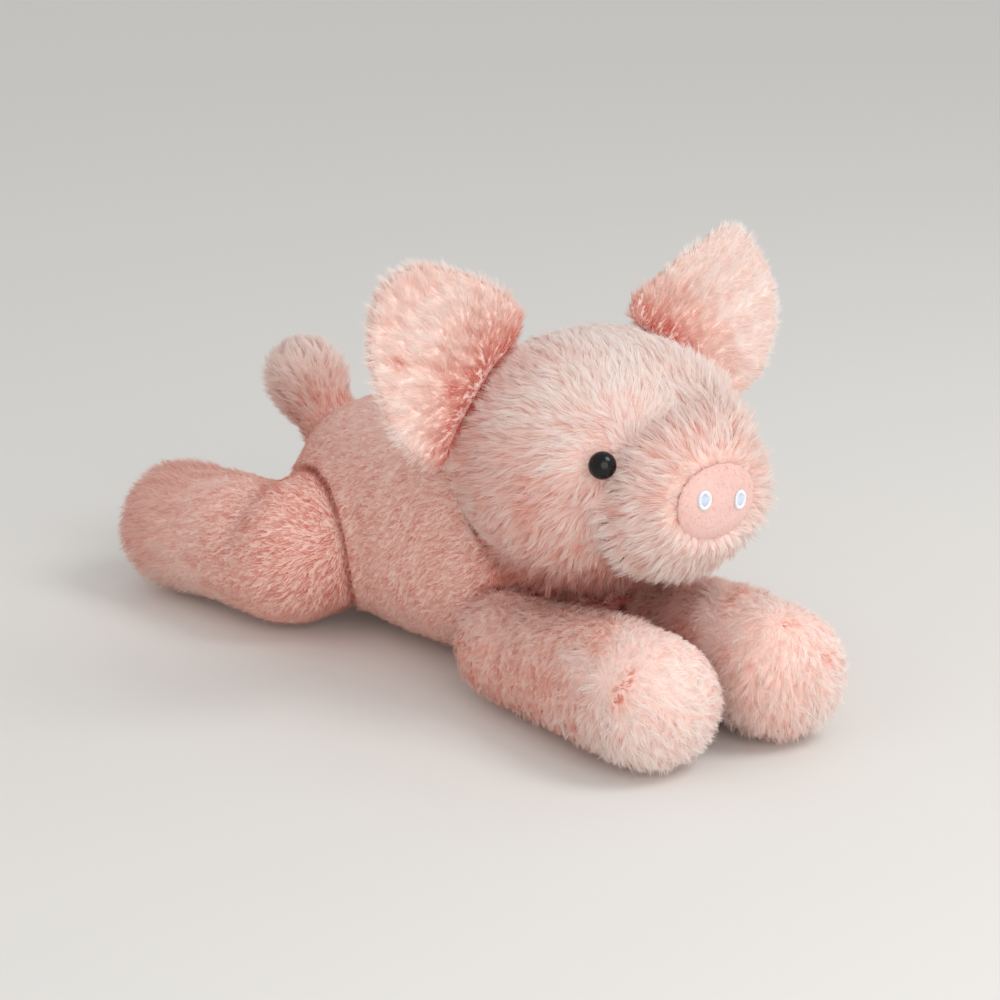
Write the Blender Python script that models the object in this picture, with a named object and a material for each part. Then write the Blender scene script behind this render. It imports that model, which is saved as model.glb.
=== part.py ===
"""Plush pig lying on its belly, head up and all four legs stretched out.

Lengths are in metres. +Z is up, the snout points along -Y and the pig's left is +X. The origin is
on the floor, under the middle of the whole pig. Every soft size is that of the pressed pile, a
little under the tips of the fur.
"""
from collections import namedtuple
from math import cos, pi, radians, sin, sqrt

import bmesh
import bpy
from mathutils import Matrix, Vector

# Clearances between neighbouring pieces
SEAM_GAP = 0.0003
BALL_GAP = 0.0005
FLAT_DEPTH = 0.0005
CUT_OVERRUN = 0.004
MERGE_DISTANCE = 0.000003

# Fabric and stuffing
PLUSH_THICKNESS = 0.0050

# Torso, a long soft barrel that lies flat on the floor
TORSO_LENGTH = 0.178
TORSO_WIDTH = 0.088
TORSO_HEIGHT = 0.0970
TORSO_BACK_END_Y = 0.1110
TORSO_BELLY_DEPTH = 0.042
TORSO_NECK_DROP = 0.010
TORSO_NECK_NARROWING = 0.008
TORSO_END_POWER = 2.4
TORSO_SIDE_POWER = 2.3

# Head, a wide ball with full cheeks
HEAD_WIDTH = 0.115
HEAD_DEPTH = 0.104
HEAD_HEIGHT = 0.096
HEAD_CENTRE_Y = -0.0600
HEAD_CENTRE_Z = 0.0938
HEAD_CHEEK_FULLNESS_SHARE = 0.07
HEAD_POWER = 2.1

# Neck, a ball joint of stuffing near the middle of the head
NECK_PIVOT_Y = -0.0520
NECK_PIVOT_Z = 0.090
NECK_BALL_RADIUS = 0.0480
NECK_PLUG_RADIUS = 0.014
NECK_PLUG_HEIGHT = 0.020
NECK_PLUG_ROUNDING = 0.0030
NECK_PLUG_PROUD = 0.0004
NECK_MOUTH_RADIUS = 0.0100
NECK_MOUTH_DEPTH = 0.0145
NECK_HOLD_SHARES = (0.0, 0.55)
NECK_FACING = Vector((0.0, 0.6, -0.8))

# Muzzle, a low broad dome on the front of the head
MUZZLE_WIDTH = 0.070
MUZZLE_HEIGHT = 0.065
MUZZLE_HALF_DEPTH = 0.036
MUZZLE_FRONT_Y = -0.1270
MUZZLE_CENTRE_Z = 0.0885
MUZZLE_END_POWER = 3.2

# Nose pad of short pile and its two stitched nostrils
NOSE_WIDTH = 0.0380
NOSE_HEIGHT = 0.0285
NOSE_THICKNESS = 0.0045
NOSE_CENTRE_Z = 0.0913
NOSE_BOW = 0.0022
NOSE_PROUD = 0.0024
NOSE_POWER = 2.1
NOSTRIL_WIDTH = 0.0062
NOSTRIL_HEIGHT = 0.0074
NOSTRIL_THREAD = 0.0016
NOSTRIL_SPACING = 0.0170
NOSTRIL_RISE = 0.0012
NOSTRIL_SLANT = 0.0015

# Eyes, glossy domes on a stem that a washer locks inside the head
EYE_DIAMETER = 0.0100
EYE_DOME_HEIGHT = 0.0042
EYE_RIM = 0.0008
EYE_STEM_DIAMETER = 0.0036
EYE_STEM_LENGTH = 0.0125
EYE_ASIDE = 0.0325
EYE_RISE = 0.0112
WASHER_DIAMETER = 0.0140
WASHER_THICKNESS = 0.0016
WASHER_BORE_CLEARANCE = 0.0001
WASHER_EASE = 0.0012

# Ears, two plush panels each, seated across the side of the crown
EAR_WIDTH = 0.065
EAR_LENGTH = 0.065
EAR_PANEL_THICKNESS = 0.0043
EAR_CUP_DEPTH = 0.009
EAR_SEAT_GAP = 0.0014
EAR_INNER_BASE = (0.0190, 0.1390)
EAR_OUTER_BASE = (0.0575, 0.0880)
EAR_PLANE_Y = -0.0460
EAR_TIP_SHIFT = 0.003
EAR_MIDDLE_SHARE = 0.45
EAR_TIP_POWER = 2.3
EAR_ROOT_POWER = 4.0
EAR_FLAT_SHARE = 0.6
EAR_FOLD_SHARE = 0.75

# Front legs, from a ball in the shoulder to a round paw
SHOULDER_ASIDE = 0.031
SHOULDER_Y = -0.0480
SHOULDER_RADIUS = 0.0220
FRONT_LEG_WAIST_RADIUS = 0.0245
FRONT_PAW_RADIUS = 0.0265
FRONT_PAW_TIP = 0.0240
RIGHT_FRONT_REACH = 0.080
LEFT_FRONT_REACH = 0.087
RIGHT_FRONT_TURN = radians(-2.0)
LEFT_FRONT_TURN = radians(6.0)
PAW_END_POWER = 2.5

# Hind legs, from a thick thigh to a round foot
HIP_ASIDE = 0.045
HIP_Y = 0.0720
HIP_RADIUS = 0.0325
HIND_LEG_WAIST_RADIUS = 0.0292
HIND_FOOT_RADIUS = 0.0280
HIND_FOOT_TIP = 0.0255
HIND_REACH = 0.062
HIND_TURN = radians(-7.0)

# Openings of the limbs towards the torso
LIMB_MOUTH_RADIUS = 0.0090
TAIL_MOUTH_RADIUS = 0.0030

# Tail, a short stem with a puff
TAIL_SETBACK = 0.005
TAIL_HEIGHT_SHARE = 0.69
TAIL_BALL_RADIUS = 0.0115
TAIL_PUFF_RADIUS = 0.0155
TAIL_REACH = 0.0245
TAIL_LEAN = radians(45.0)

# Bag of pellets inside the belly
PELLET_BAG_LENGTH = 0.046
PELLET_BAG_WIDTH = 0.050
PELLET_BAG_HEIGHT = 0.019
PELLET_BAG_Y = 0.0050
PELLET_BAG_LIFT = 0.0030
PELLET_BAG_POWER = 2.6

# Facet counts
TORSO_SIDES = 24
TORSO_RINGS = 16
HEAD_SIDES = 24
HEAD_RINGS = 14
INNER_SIDES = 14
INNER_RINGS = 8
MUZZLE_SIDES = 20
MUZZLE_RINGS = 10
NOSE_SIDES = 20
NOSE_RINGS = 8
EAR_SIDES = 22
EAR_RINGS = 3
LEG_SIDES = 16
LEG_BALL_RINGS = 5
LEG_TUBE_RINGS = 3
LEG_INNER_SIDES = 10
LEG_INNER_RINGS = 3
ROUND_SIDES = 16
DOME_ARCS = 5
THREAD_SIDES = 6
CUTTER_SIDES = 20
INNER_CUTTER_SIDES = 12
MOUTH_SIDES = 12
SURFACE_SEARCH_STEPS = 40

LEFT = 1
RIGHT = -1

Section = namedtuple("Section", "centre side up half_width half_up half_down power foot_power")
Skin = namedtuple("Skin", "name colour roughness")

PALE_PLUSH = Skin("pale_pink_plush", (0.83, 0.56, 0.52), 0.95)
DEEP_PLUSH = Skin("inner_ear_plush", (0.85, 0.55, 0.50), 0.95)
NOSE_VELOUR = Skin("nose_velour", (0.72, 0.42, 0.42), 0.85)
WHITE_THREAD = Skin("white_thread", (0.80, 0.84, 0.90), 0.55)
BLACK_PLASTIC = Skin("black_plastic", (0.008, 0.007, 0.007), 0.12)
CLEAR_PLASTIC = Skin("washer_plastic", (0.80, 0.80, 0.78), 0.40)
STUFFING = Skin("polyester_stuffing", (0.90, 0.90, 0.88), 1.00)
PELLET_CLOTH = Skin("pellet_bag_cloth", (0.88, 0.86, 0.82), 0.80)


def clear_scene():
    """Remove whatever the file starts with."""
    for thing in list(bpy.data.objects):
        bpy.data.objects.remove(thing, do_unlink=True)


def material_of(skin):
    """The Principled material of one skin, made once."""
    if skin.name in bpy.data.materials:
        return bpy.data.materials[skin.name]
    material = bpy.data.materials.new(skin.name)
    material.use_nodes = True
    shader = material.node_tree.nodes["Principled BSDF"]
    shader.inputs["Base Color"].default_value = (*skin.colour, 1.0)
    shader.inputs["Roughness"].default_value = skin.roughness
    shader.inputs["Metallic"].default_value = 0.0
    return material


def signed_power(value, power):
    """A power that keeps the sign of its value."""
    return abs(value) ** power * (1.0 if value >= 0.0 else -1.0)


def smooth(share):
    """A soft step from 0 to 1."""
    share = min(1.0, max(0.0, share))
    return share * share * (3.0 - 2.0 * share)


def section_at(centre, half_width, half_up, half_down, power, side=None, up=None, foot_power=None):
    """One soft cross-section, an oval with its own crown and underside."""
    return Section(centre, side or Vector((1.0, 0.0, 0.0)), up or Vector((0.0, 0.0, 1.0)),
                   half_width, half_up, half_down, power, foot_power or power)


def ring_points(section, sides):
    """The points around one cross-section."""
    points = []
    for index in range(sides):
        angle = 2.0 * pi * index / sides
        above = sin(angle) > 0.0
        power = section.power if above else section.foot_power
        across = signed_power(cos(angle), 2.0 / power) * section.half_width
        lift = signed_power(sin(angle), 2.0 / power)
        lift *= section.half_up if above else section.half_down
        points.append(section.centre + section.side * across + section.up * lift)
    return points


def mesh_object(name, form, skin=None, parent=None):
    """Turn a bmesh into a smooth-shaded object, of one material where it is a piece."""
    bmesh.ops.recalc_face_normals(form, faces=form.faces)
    mesh = bpy.data.meshes.new(name)
    form.to_mesh(mesh)
    form.free()
    mesh.shade_smooth()
    thing = bpy.data.objects.new(name, mesh)
    bpy.context.scene.collection.objects.link(thing)
    if skin is not None:
        mesh.materials.append(material_of(skin))
    if parent is not None:
        thing.parent = parent
        thing.matrix_parent_inverse = Matrix.Translation(-parent.location)
    return thing


def as_cutter(thing):
    """Mark a helper that only cuts other pieces."""
    thing.hide_render = True
    thing.display_type = "WIRE"
    return thing


def soft_form(name, sections, sides, skin=None, parent=None, warp=None):
    """A closed body through its sections, whose first and last are single points."""
    form = bmesh.new()
    warp = warp or Vector
    first = form.verts.new(warp(sections[0].centre))
    rings = []
    for section in sections[1:-1]:
        rings.append([form.verts.new(warp(point)) for point in ring_points(section, sides)])
    last = form.verts.new(warp(sections[-1].centre))
    for index in range(sides):
        after = (index + 1) % sides
        form.faces.new((first, rings[0][after], rings[0][index]))
        for near, far in zip(rings, rings[1:]):
            form.faces.new((near[index], near[after], far[after]))
            form.faces.new((near[index], far[after], far[index]))
        form.faces.new((last, rings[-1][index], rings[-1][after]))
    return mesh_object(name, form, skin, parent)


def turned_form(name, profile, skin, parent, place):
    """A body spun about its own Z from (radius, height) points that start and end on it."""
    form = bmesh.new()
    line = [form.verts.new((radius, 0.0, height)) for radius, height in profile]
    edges = [form.edges.new(pair) for pair in zip(line, line[1:])]
    bmesh.ops.spin(form, geom=line + edges, axis=(0.0, 0.0, 1.0), angle=2.0 * pi,
                   steps=ROUND_SIDES, use_merge=True)
    bmesh.ops.remove_doubles(form, verts=form.verts, dist=MERGE_DISTANCE)
    bmesh.ops.transform(form, matrix=place, verts=form.verts)
    return mesh_object(name, form, skin, parent)


def ball_cutter(name, centre, radius, sides, within=False):
    """A round cutter whose flats lie outside its radius, or whose corners lie on it."""
    form = bmesh.new()
    corner = radius if within else radius / cos(pi / sides) ** 2
    bmesh.ops.create_uvsphere(form, u_segments=sides, v_segments=sides // 2, radius=corner,
                              matrix=Matrix.Translation(centre))
    return as_cutter(mesh_object(name, form))


def rod_cutter(name, start, end, radius):
    """A straight round cutter between two points."""
    form = bmesh.new()
    run = end - start
    turn = run.to_track_quat("Z", "Y").to_matrix().to_4x4()
    over_flats = radius / cos(pi / MOUTH_SIDES)
    bmesh.ops.create_cone(form, cap_ends=True, segments=MOUTH_SIDES, radius1=over_flats,
                          radius2=over_flats, depth=run.length,
                          matrix=Matrix.Translation((start + end) / 2.0) @ turn)
    return as_cutter(mesh_object(name, form))


def floor_cutter():
    """Everything under the floor, which presses the resting pieces flat."""
    form = bmesh.new()
    reach = TORSO_LENGTH * 3.0
    place = Matrix.Translation((0.0, 0.0, -reach / 2.0)) @ Matrix.Scale(reach, 4)
    bmesh.ops.create_cube(form, size=1.0, matrix=place)
    return as_cutter(mesh_object("cut_floor", form))


def cut(thing, *cutters):
    """Take each cutter out of a piece, in turn."""
    for cutter in cutters:
        step = thing.modifiers.new(cutter.name, "BOOLEAN")
        step.operation = "DIFFERENCE"
        step.solver = "EXACT"
        step.object = cutter
    return thing


def pivot_empty(name, place):
    """The empty that a moving body hangs from, on its joint."""
    pivot = bpy.data.objects.new(name, None)
    pivot.location = place
    bpy.context.scene.collection.objects.link(pivot)
    return pivot


def neck_pivot():
    """The point that the head nods and turns about."""
    return Vector((0.0, NECK_PIVOT_Y, NECK_PIVOT_Z))


def shoulder(side):
    """The pivot of a front leg, at the height where its ball rests on the floor."""
    return Vector((side * SHOULDER_ASIDE, SHOULDER_Y, SHOULDER_RADIUS - FLAT_DEPTH))


def hip(side):
    """The pivot of a hind leg."""
    return Vector((side * HIP_ASIDE, HIP_Y, HIP_RADIUS - FLAT_DEPTH))


def tail_pivot():
    """The pivot of the tail."""
    return Vector((0.0, TORSO_BACK_END_Y - TAIL_SETBACK, TORSO_HEIGHT * TAIL_HEIGHT_SHARE))


def torso_middle():
    """The middle of the torso."""
    return Vector((0.0, TORSO_BACK_END_Y - TORSO_LENGTH / 2.0, TORSO_BELLY_DEPTH))


def torso_sections(inset, rings):
    """Sections of the torso from chest to rump, all drawn in by an inset."""
    half_length = TORSO_LENGTH / 2.0 - inset
    middle_y = TORSO_BACK_END_Y - TORSO_LENGTH / 2.0
    sections = []
    for index in range(rings + 1):
        angle = pi * index / rings
        along = -signed_power(cos(angle), 2.0 / TORSO_END_POWER)
        girth = signed_power(sin(angle), 2.0 / TORSO_END_POWER)
        neck = smooth(-along)
        crown = TORSO_HEIGHT + FLAT_DEPTH - TORSO_BELLY_DEPTH - TORSO_NECK_DROP * neck - inset
        half_width = TORSO_WIDTH / 2.0 - TORSO_NECK_NARROWING * neck - inset
        centre = Vector((0.0, middle_y + half_length * along, TORSO_BELLY_DEPTH - FLAT_DEPTH))
        sections.append(section_at(centre, half_width * girth, crown * girth,
                                   (TORSO_BELLY_DEPTH - inset) * girth, TORSO_SIDE_POWER))
    return sections


def ball_sections(centre, half_width, half_depth, half_height, power, rings, end_power=2.0):
    """Sections of a plump ball, from its front point to its back point."""
    sections = []
    for index in range(rings + 1):
        angle = pi * index / rings
        ahead = signed_power(cos(angle), 2.0 / end_power)
        girth = signed_power(sin(angle), 2.0 / end_power)
        ring_centre = centre - Vector((0.0, half_depth * ahead, 0.0))
        sections.append(section_at(ring_centre, half_width * girth, half_height * girth,
                                   half_height * girth, power))
    return sections


def head_sections(inset, rings):
    """Sections of the head from snout side to neck side."""
    return ball_sections(Vector((0.0, HEAD_CENTRE_Y, HEAD_CENTRE_Z)), HEAD_WIDTH / 2.0 - inset,
                         HEAD_DEPTH / 2.0 - inset, HEAD_HEIGHT / 2.0 - inset, HEAD_POWER, rings)


def cheek_fullness(height):
    """How much wider than the plain ball the head is at a height."""
    return 1.0 - HEAD_CHEEK_FULLNESS_SHARE * (height - HEAD_CENTRE_Z) / (HEAD_HEIGHT / 2.0)


def head_level(point):
    """1 on the surface of the head, less inside it."""
    across = abs(point.x) / (HEAD_WIDTH / 2.0 * cheek_fullness(point.z))
    lift = abs(point.z - HEAD_CENTRE_Z) / (HEAD_HEIGHT / 2.0)
    depth = (point.y - HEAD_CENTRE_Y) / (HEAD_DEPTH / 2.0)
    return (across ** HEAD_POWER + lift ** HEAD_POWER) ** (2.0 / HEAD_POWER) + depth * depth


def head_surface(start, direction):
    """Where a line from inside the head leaves it, as a distance from its start."""
    near, far = -HEAD_HEIGHT / 4.0, HEAD_WIDTH
    for _ in range(SURFACE_SEARCH_STEPS):
        middle = (near + far) / 2.0
        if head_level(start + direction * middle) < 1.0:
            near = middle
        else:
            far = middle
    return near


def head_warp(inset):
    """Fuller cheeks, and a back and underside that follow the neck ball."""
    def warp(point):
        point = Vector((point.x * cheek_fullness(point.z), point.y, point.z))
        reach = point - neck_pivot()
        facing = reach.normalized().dot(NECK_FACING)
        start, end = NECK_HOLD_SHARES
        hold = smooth((facing - start) / (end - start))
        excess = max(0.0, reach.length - (NECK_BALL_RADIUS - inset))
        return point - reach.normalized() * excess * hold
    return warp


def muzzle_sections(inset, rings):
    """Sections of the muzzle dome."""
    centre = Vector((0.0, MUZZLE_FRONT_Y + MUZZLE_HALF_DEPTH, MUZZLE_CENTRE_Z))
    return ball_sections(centre, MUZZLE_WIDTH / 2.0 - inset, MUZZLE_HALF_DEPTH - inset,
                         MUZZLE_HEIGHT / 2.0 - inset, 2.0, rings, MUZZLE_END_POWER)


def nose_bow(aside, lift):
    """How far the nose pad bows back at a place on it."""
    share = (aside / (NOSE_WIDTH / 2.0)) ** 2 + (lift / (NOSE_HEIGHT / 2.0)) ** 2
    return NOSE_BOW * share


def nose_warp(point):
    """Bow the nose pad back towards its rim."""
    return Vector((point.x, point.y + nose_bow(point.x, point.z - NOSE_CENTRE_Z), point.z))


def nose_sections(grow):
    """Sections of the nose pad, a thick oval button with a soft rim."""
    sections = []
    for index in range(NOSE_RINGS + 1):
        angle = pi * index / NOSE_RINGS
        spread = sqrt(sin(angle))
        depth = (NOSE_THICKNESS / 2.0 + grow) * (1.0 - cos(angle))
        centre = Vector((0.0, MUZZLE_FRONT_Y - NOSE_PROUD - grow + depth, NOSE_CENTRE_Z))
        half_height = (NOSE_HEIGHT / 2.0 + grow) * spread
        sections.append(section_at(centre, (NOSE_WIDTH / 2.0 + grow) * spread, half_height,
                                   half_height, NOSE_POWER))
    return sections


def leg_sections(pivot, direction, reach, ball, waist, paw, tip, inset, ball_rings, tube_rings):
    """Sections of a leg: a ball at its joint, a slimmer shank and a round paw."""
    stations = []
    for index in range(ball_rings + 1):
        angle = pi / 2.0 * index / ball_rings
        stations.append((-(ball - inset) * cos(angle), (ball - inset) * sin(angle)))
    for index in range(1, tube_rings + 1):
        share = index / (tube_rings + 1)
        plain = ball + (paw - ball) * smooth(share)
        narrow = ((ball + paw) / 2.0 - waist) * sin(pi * share) ** 2
        stations.append((reach * share, plain - narrow - inset))
    for index in range(ball_rings + 1):
        angle = pi / 2.0 * index / ball_rings
        ahead = sin(angle) ** (2.0 / PAW_END_POWER)
        girth = max(0.0, cos(angle)) ** (2.0 / PAW_END_POWER)
        stations.append((reach + (tip - inset) * ahead, (paw - inset) * girth))
    side = direction.cross(Vector((0.0, 0.0, 1.0))).normalized()
    sections = []
    for along, radius in stations:
        centre = pivot + direction * along
        centre.z = ball + (paw - ball) * smooth(along / reach) - FLAT_DEPTH
        sections.append(section_at(centre, radius, radius, radius, 2.0, side=side))
    return sections


def leg_form_at(pivot, direction, sizes):
    """The leg's sections as a function of inset and ring counts."""
    def sections_at(inset, ball_rings, tube_rings):
        return leg_sections(pivot, direction, *sizes, inset, ball_rings, tube_rings)
    return sections_at


def make_torso(floor):
    """The plush body, its stuffing and the bag of pellets in its belly."""
    skin = soft_form("torso_plush", torso_sections(0.0, TORSO_RINGS), TORSO_SIDES, PALE_PLUSH)
    hollow = as_cutter(soft_form("cut_torso_hollow", torso_sections(PLUSH_THICKNESS, INNER_RINGS),
                                 INNER_SIDES))
    cut(hollow, *torso_sockets("hollow", PLUSH_THICKNESS))
    neck = neck_pivot()
    below = neck - Vector((0.0, 0.0, NECK_BALL_RADIUS + NECK_MOUTH_DEPTH))
    mouth = rod_cutter("cut_torso_neck", neck, below, NECK_MOUTH_RADIUS)
    cut(skin, *torso_sockets("skin", 0.0), floor, hollow, mouth)
    filling = soft_form("torso_filling", torso_sections(PLUSH_THICKNESS + SEAM_GAP, INNER_RINGS),
                        INNER_SIDES, STUFFING)
    cut(filling, *torso_sockets("filling", PLUSH_THICKNESS + SEAM_GAP))
    cut(filling, as_cutter(make_pellet_bag("cut_pellet_pocket", SEAM_GAP, None)))
    make_pellet_bag("pellet_bag", 0.0, PELLET_CLOTH)


def make_pellet_bag(name, grow, skin):
    """The flat bag of pellets on the belly's inner side, or the pocket that it fills."""
    floor_z = PLUSH_THICKNESS + SEAM_GAP + PELLET_BAG_LIFT
    centre = Vector((0.0, PELLET_BAG_Y, floor_z + PELLET_BAG_HEIGHT / 2.0))
    sections = ball_sections(centre, PELLET_BAG_WIDTH / 2.0 + grow, PELLET_BAG_LENGTH / 2.0 + grow,
                             PELLET_BAG_HEIGHT / 2.0 + grow, PELLET_BAG_POWER, INNER_RINGS)
    return soft_form(name, sections, INNER_SIDES, skin)


def make_neck_plug(parent):
    """The plug of stuffing that the head turns on and nods with."""
    profile = []
    for index in range(DOME_ARCS + 1):
        radius = NECK_PLUG_RADIUS * index / DOME_ARCS
        profile.append((radius, -sqrt((NECK_BALL_RADIUS + NECK_PLUG_PROUD) ** 2 - radius ** 2)))
    top = NECK_PLUG_HEIGHT - NECK_BALL_RADIUS
    profile += [(NECK_PLUG_RADIUS, top - NECK_PLUG_ROUNDING),
                (NECK_PLUG_RADIUS - NECK_PLUG_ROUNDING, top), (0.0, top)]
    return turned_form("neck_plug", profile, STUFFING, parent, Matrix.Translation(neck_pivot()))


def eye_place(side):
    """The frame of an eye: its origin on the head, its Z outwards."""
    inside = Vector((side * EYE_ASIDE, HEAD_CENTRE_Y, HEAD_CENTRE_Z + EYE_RISE))
    seat = inside + Vector((0.0, -1.0, 0.0)) * head_surface(inside, Vector((0.0, -1.0, 0.0)))
    away = Vector((seat.x / HEAD_WIDTH ** 2, (seat.y - HEAD_CENTRE_Y) / HEAD_DEPTH ** 2,
                   (seat.z - HEAD_CENTRE_Z) / HEAD_HEIGHT ** 2)).normalized()
    return Matrix.Translation(seat) @ away.to_track_quat("Z", "Y").to_matrix().to_4x4()


def washer_seat():
    """How deep under the pile a flat washer meets the curved wall."""
    return PLUSH_THICKNESS + WASHER_EASE + (WASHER_DIAMETER / 2.0) ** 2 / HEAD_HEIGHT


def make_eye(side, label, parent):
    """A safety eye with its stem, and the washer that locks it."""
    place = eye_place(side)
    radius = EYE_DIAMETER / 2.0
    stem = EYE_STEM_DIAMETER / 2.0
    profile = [(0.0, -EYE_STEM_LENGTH), (stem, -EYE_STEM_LENGTH), (stem, SEAM_GAP),
               (radius - EYE_RIM, SEAM_GAP)]
    for index in range(DOME_ARCS + 1):
        angle = pi / 2.0 * index / DOME_ARCS
        profile.append((radius * cos(angle), SEAM_GAP + EYE_RIM + EYE_DOME_HEIGHT * sin(angle)))
    profile[-1] = (0.0, profile[-1][1])
    turned_form("eye_" + label, profile, BLACK_PLASTIC, parent, place)
    bore = stem + WASHER_BORE_CLEARANCE
    form = bmesh.new()
    high, low = -washer_seat(), -washer_seat() - WASHER_THICKNESS
    corners = [(bore, high), (WASHER_DIAMETER / 2.0, high), (WASHER_DIAMETER / 2.0, low), (bore, low)]
    line = [form.verts.new((radius, 0.0, height)) for radius, height in corners]
    edges = [form.edges.new(pair) for pair in zip(line, line[1:] + line[:1])]
    bmesh.ops.spin(form, geom=line + edges, axis=(0.0, 0.0, 1.0), angle=2.0 * pi,
                   steps=ROUND_SIDES, use_merge=True)
    bmesh.ops.transform(form, matrix=place, verts=form.verts)
    mesh_object("eye_washer_" + label, form, CLEAR_PLASTIC, parent)


def make_head(parent):
    """The plush head with its neck and eye openings, and its stuffing."""
    skin = soft_form("head_plush", head_sections(0.0, HEAD_RINGS), HEAD_SIDES, PALE_PLUSH, parent,
                     head_warp(0.0))
    hollow = as_cutter(soft_form("cut_head_hollow", head_sections(PLUSH_THICKNESS, INNER_RINGS),
                                 INNER_SIDES, warp=head_warp(PLUSH_THICKNESS)))
    inset = PLUSH_THICKNESS + SEAM_GAP
    filling = soft_form("head_filling", head_sections(inset, INNER_RINGS), INNER_SIDES, STUFFING,
                        parent, head_warp(inset))
    neck = neck_pivot()
    mouth = rod_cutter("cut_head_neck", neck + Vector((0.0, 0.0, NECK_PLUG_HEIGHT + SEAM_GAP
                                                       - NECK_BALL_RADIUS)),
                       neck - Vector((0.0, 0.0, NECK_BALL_RADIUS + CUT_OVERRUN)),
                       NECK_PLUG_RADIUS + BALL_GAP)
    cut(skin, hollow, mouth)
    cut(filling, mouth)
    for side, label in ((LEFT, "left"), (RIGHT, "right")):
        place = eye_place(side)
        outside = place @ Vector((0.0, 0.0, CUT_OVERRUN))
        stem_end = place @ Vector((0.0, 0.0, -EYE_STEM_LENGTH - SEAM_GAP))
        seat = place @ Vector((0.0, 0.0, SEAM_GAP - washer_seat()))
        cut(skin, rod_cutter("cut_stem_" + label, outside, stem_end,
                             EYE_STEM_DIAMETER / 2.0 + SEAM_GAP),
            rod_cutter("cut_washer_" + label, seat, stem_end, WASHER_DIAMETER / 2.0 + SEAM_GAP))
        cut(filling, rod_cutter("cut_eye_room_" + label, outside, stem_end,
                                WASHER_DIAMETER / 2.0 + SEAM_GAP))


def make_muzzle(parent):
    """The muzzle dome, its stuffing, the nose pad and the nostrils."""
    skin = soft_form("muzzle_plush", muzzle_sections(0.0, MUZZLE_RINGS), MUZZLE_SIDES, PALE_PLUSH,
                     parent)
    hollow = as_cutter(soft_form("cut_muzzle_hollow", muzzle_sections(PLUSH_THICKNESS, INNER_RINGS),
                                 INNER_SIDES))
    filling = soft_form("muzzle_filling", muzzle_sections(PLUSH_THICKNESS + SEAM_GAP, INNER_RINGS),
                        INNER_SIDES, STUFFING, parent)
    behind = as_cutter(soft_form("cut_by_head", head_sections(-SEAM_GAP, HEAD_RINGS), HEAD_SIDES,
                                 warp=head_warp(-SEAM_GAP)))
    seat = as_cutter(soft_form("cut_nose_seat", nose_sections(SEAM_GAP), NOSE_SIDES, warp=nose_warp))
    cut(skin, behind, hollow, seat)
    cut(filling, behind)
    for side, label in ((LEFT, "left"), (RIGHT, "right")):
        place = eye_place(side)
        cut(skin, rod_cutter("cut_eye_seat_" + label, place @ Vector((0.0, 0.0, -CUT_OVERRUN)),
                             place @ Vector((0.0, 0.0, EYE_DOME_HEIGHT + CUT_OVERRUN)),
                             EYE_DIAMETER / 2.0 + SEAM_GAP))
    soft_form("nose_pad", nose_sections(0.0), NOSE_SIDES, NOSE_VELOUR, parent, nose_warp)
    for side, label in ((LEFT, "left"), (RIGHT, "right")):
        make_nostril(side, label, parent)


def make_nostril(side, label, parent):
    """An oval ring of satin stitch on the face of the nose pad."""
    form = bmesh.new()
    thread = NOSTRIL_THREAD / 2.0
    loops = []
    for index in range(ROUND_SIDES):
        angle = 2.0 * pi * index / ROUND_SIDES
        outward = Vector((cos(angle), 0.0, sin(angle)))
        aside = side * NOSTRIL_SPACING / 2.0 + (NOSTRIL_WIDTH / 2.0 - thread) * outward.x
        lift = NOSTRIL_RISE - side * NOSTRIL_SLANT + (NOSTRIL_HEIGHT / 2.0 - thread) * outward.z
        face = nose_face(aside, lift) - SEAM_GAP - thread
        centre = Vector((aside, face, NOSE_CENTRE_Z + lift))
        loop = []
        for turn in range(THREAD_SIDES):
            roll = 2.0 * pi * turn / THREAD_SIDES
            loop.append(form.verts.new(centre + outward * (thread * cos(roll))
                                       + Vector((0.0, -thread * sin(roll), 0.0))))
        loops.append(loop)
    for near, far in zip(loops, loops[1:] + loops[:1]):
        for turn in range(THREAD_SIDES):
            after = (turn + 1) % THREAD_SIDES
            form.faces.new((near[turn], near[after], far[after], far[turn]))
    mesh_object("nostril_" + label, form, WHITE_THREAD, parent)


def nose_face(aside, lift):
    """The Y of the nose pad's front at a place on it."""
    share = sqrt((aside / (NOSE_WIDTH / 2.0)) ** 2 + (lift / (NOSE_HEIGHT / 2.0)) ** 2)
    rounding = NOSE_THICKNESS / 2.0 * (1.0 - sqrt(1.0 - min(1.0, share) ** 4))
    return MUZZLE_FRONT_Y - NOSE_PROUD + rounding + nose_bow(aside, lift)


def ear_axes(side):
    """The middle of the ear's root and its directions: along, up the ear, out of its front."""
    inner = Vector((side * EAR_INNER_BASE[0], EAR_PLANE_Y, EAR_INNER_BASE[1]))
    outer = Vector((side * EAR_OUTER_BASE[0], EAR_PLANE_Y, EAR_OUTER_BASE[1]))
    along = (outer - inner).normalized()
    front = Vector((0.0, -1.0, 0.0))
    up = front.cross(along) * side
    return (inner + outer) / 2.0, along, up, front


def ear_pivot(side):
    """The middle of the ear's fold, between the height of its root's ends and of its middle."""
    middle, _, up, _ = ear_axes(side)
    return middle + up * (EAR_SEAT_GAP + head_surface(middle, up)) * EAR_FOLD_SHARE


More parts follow.
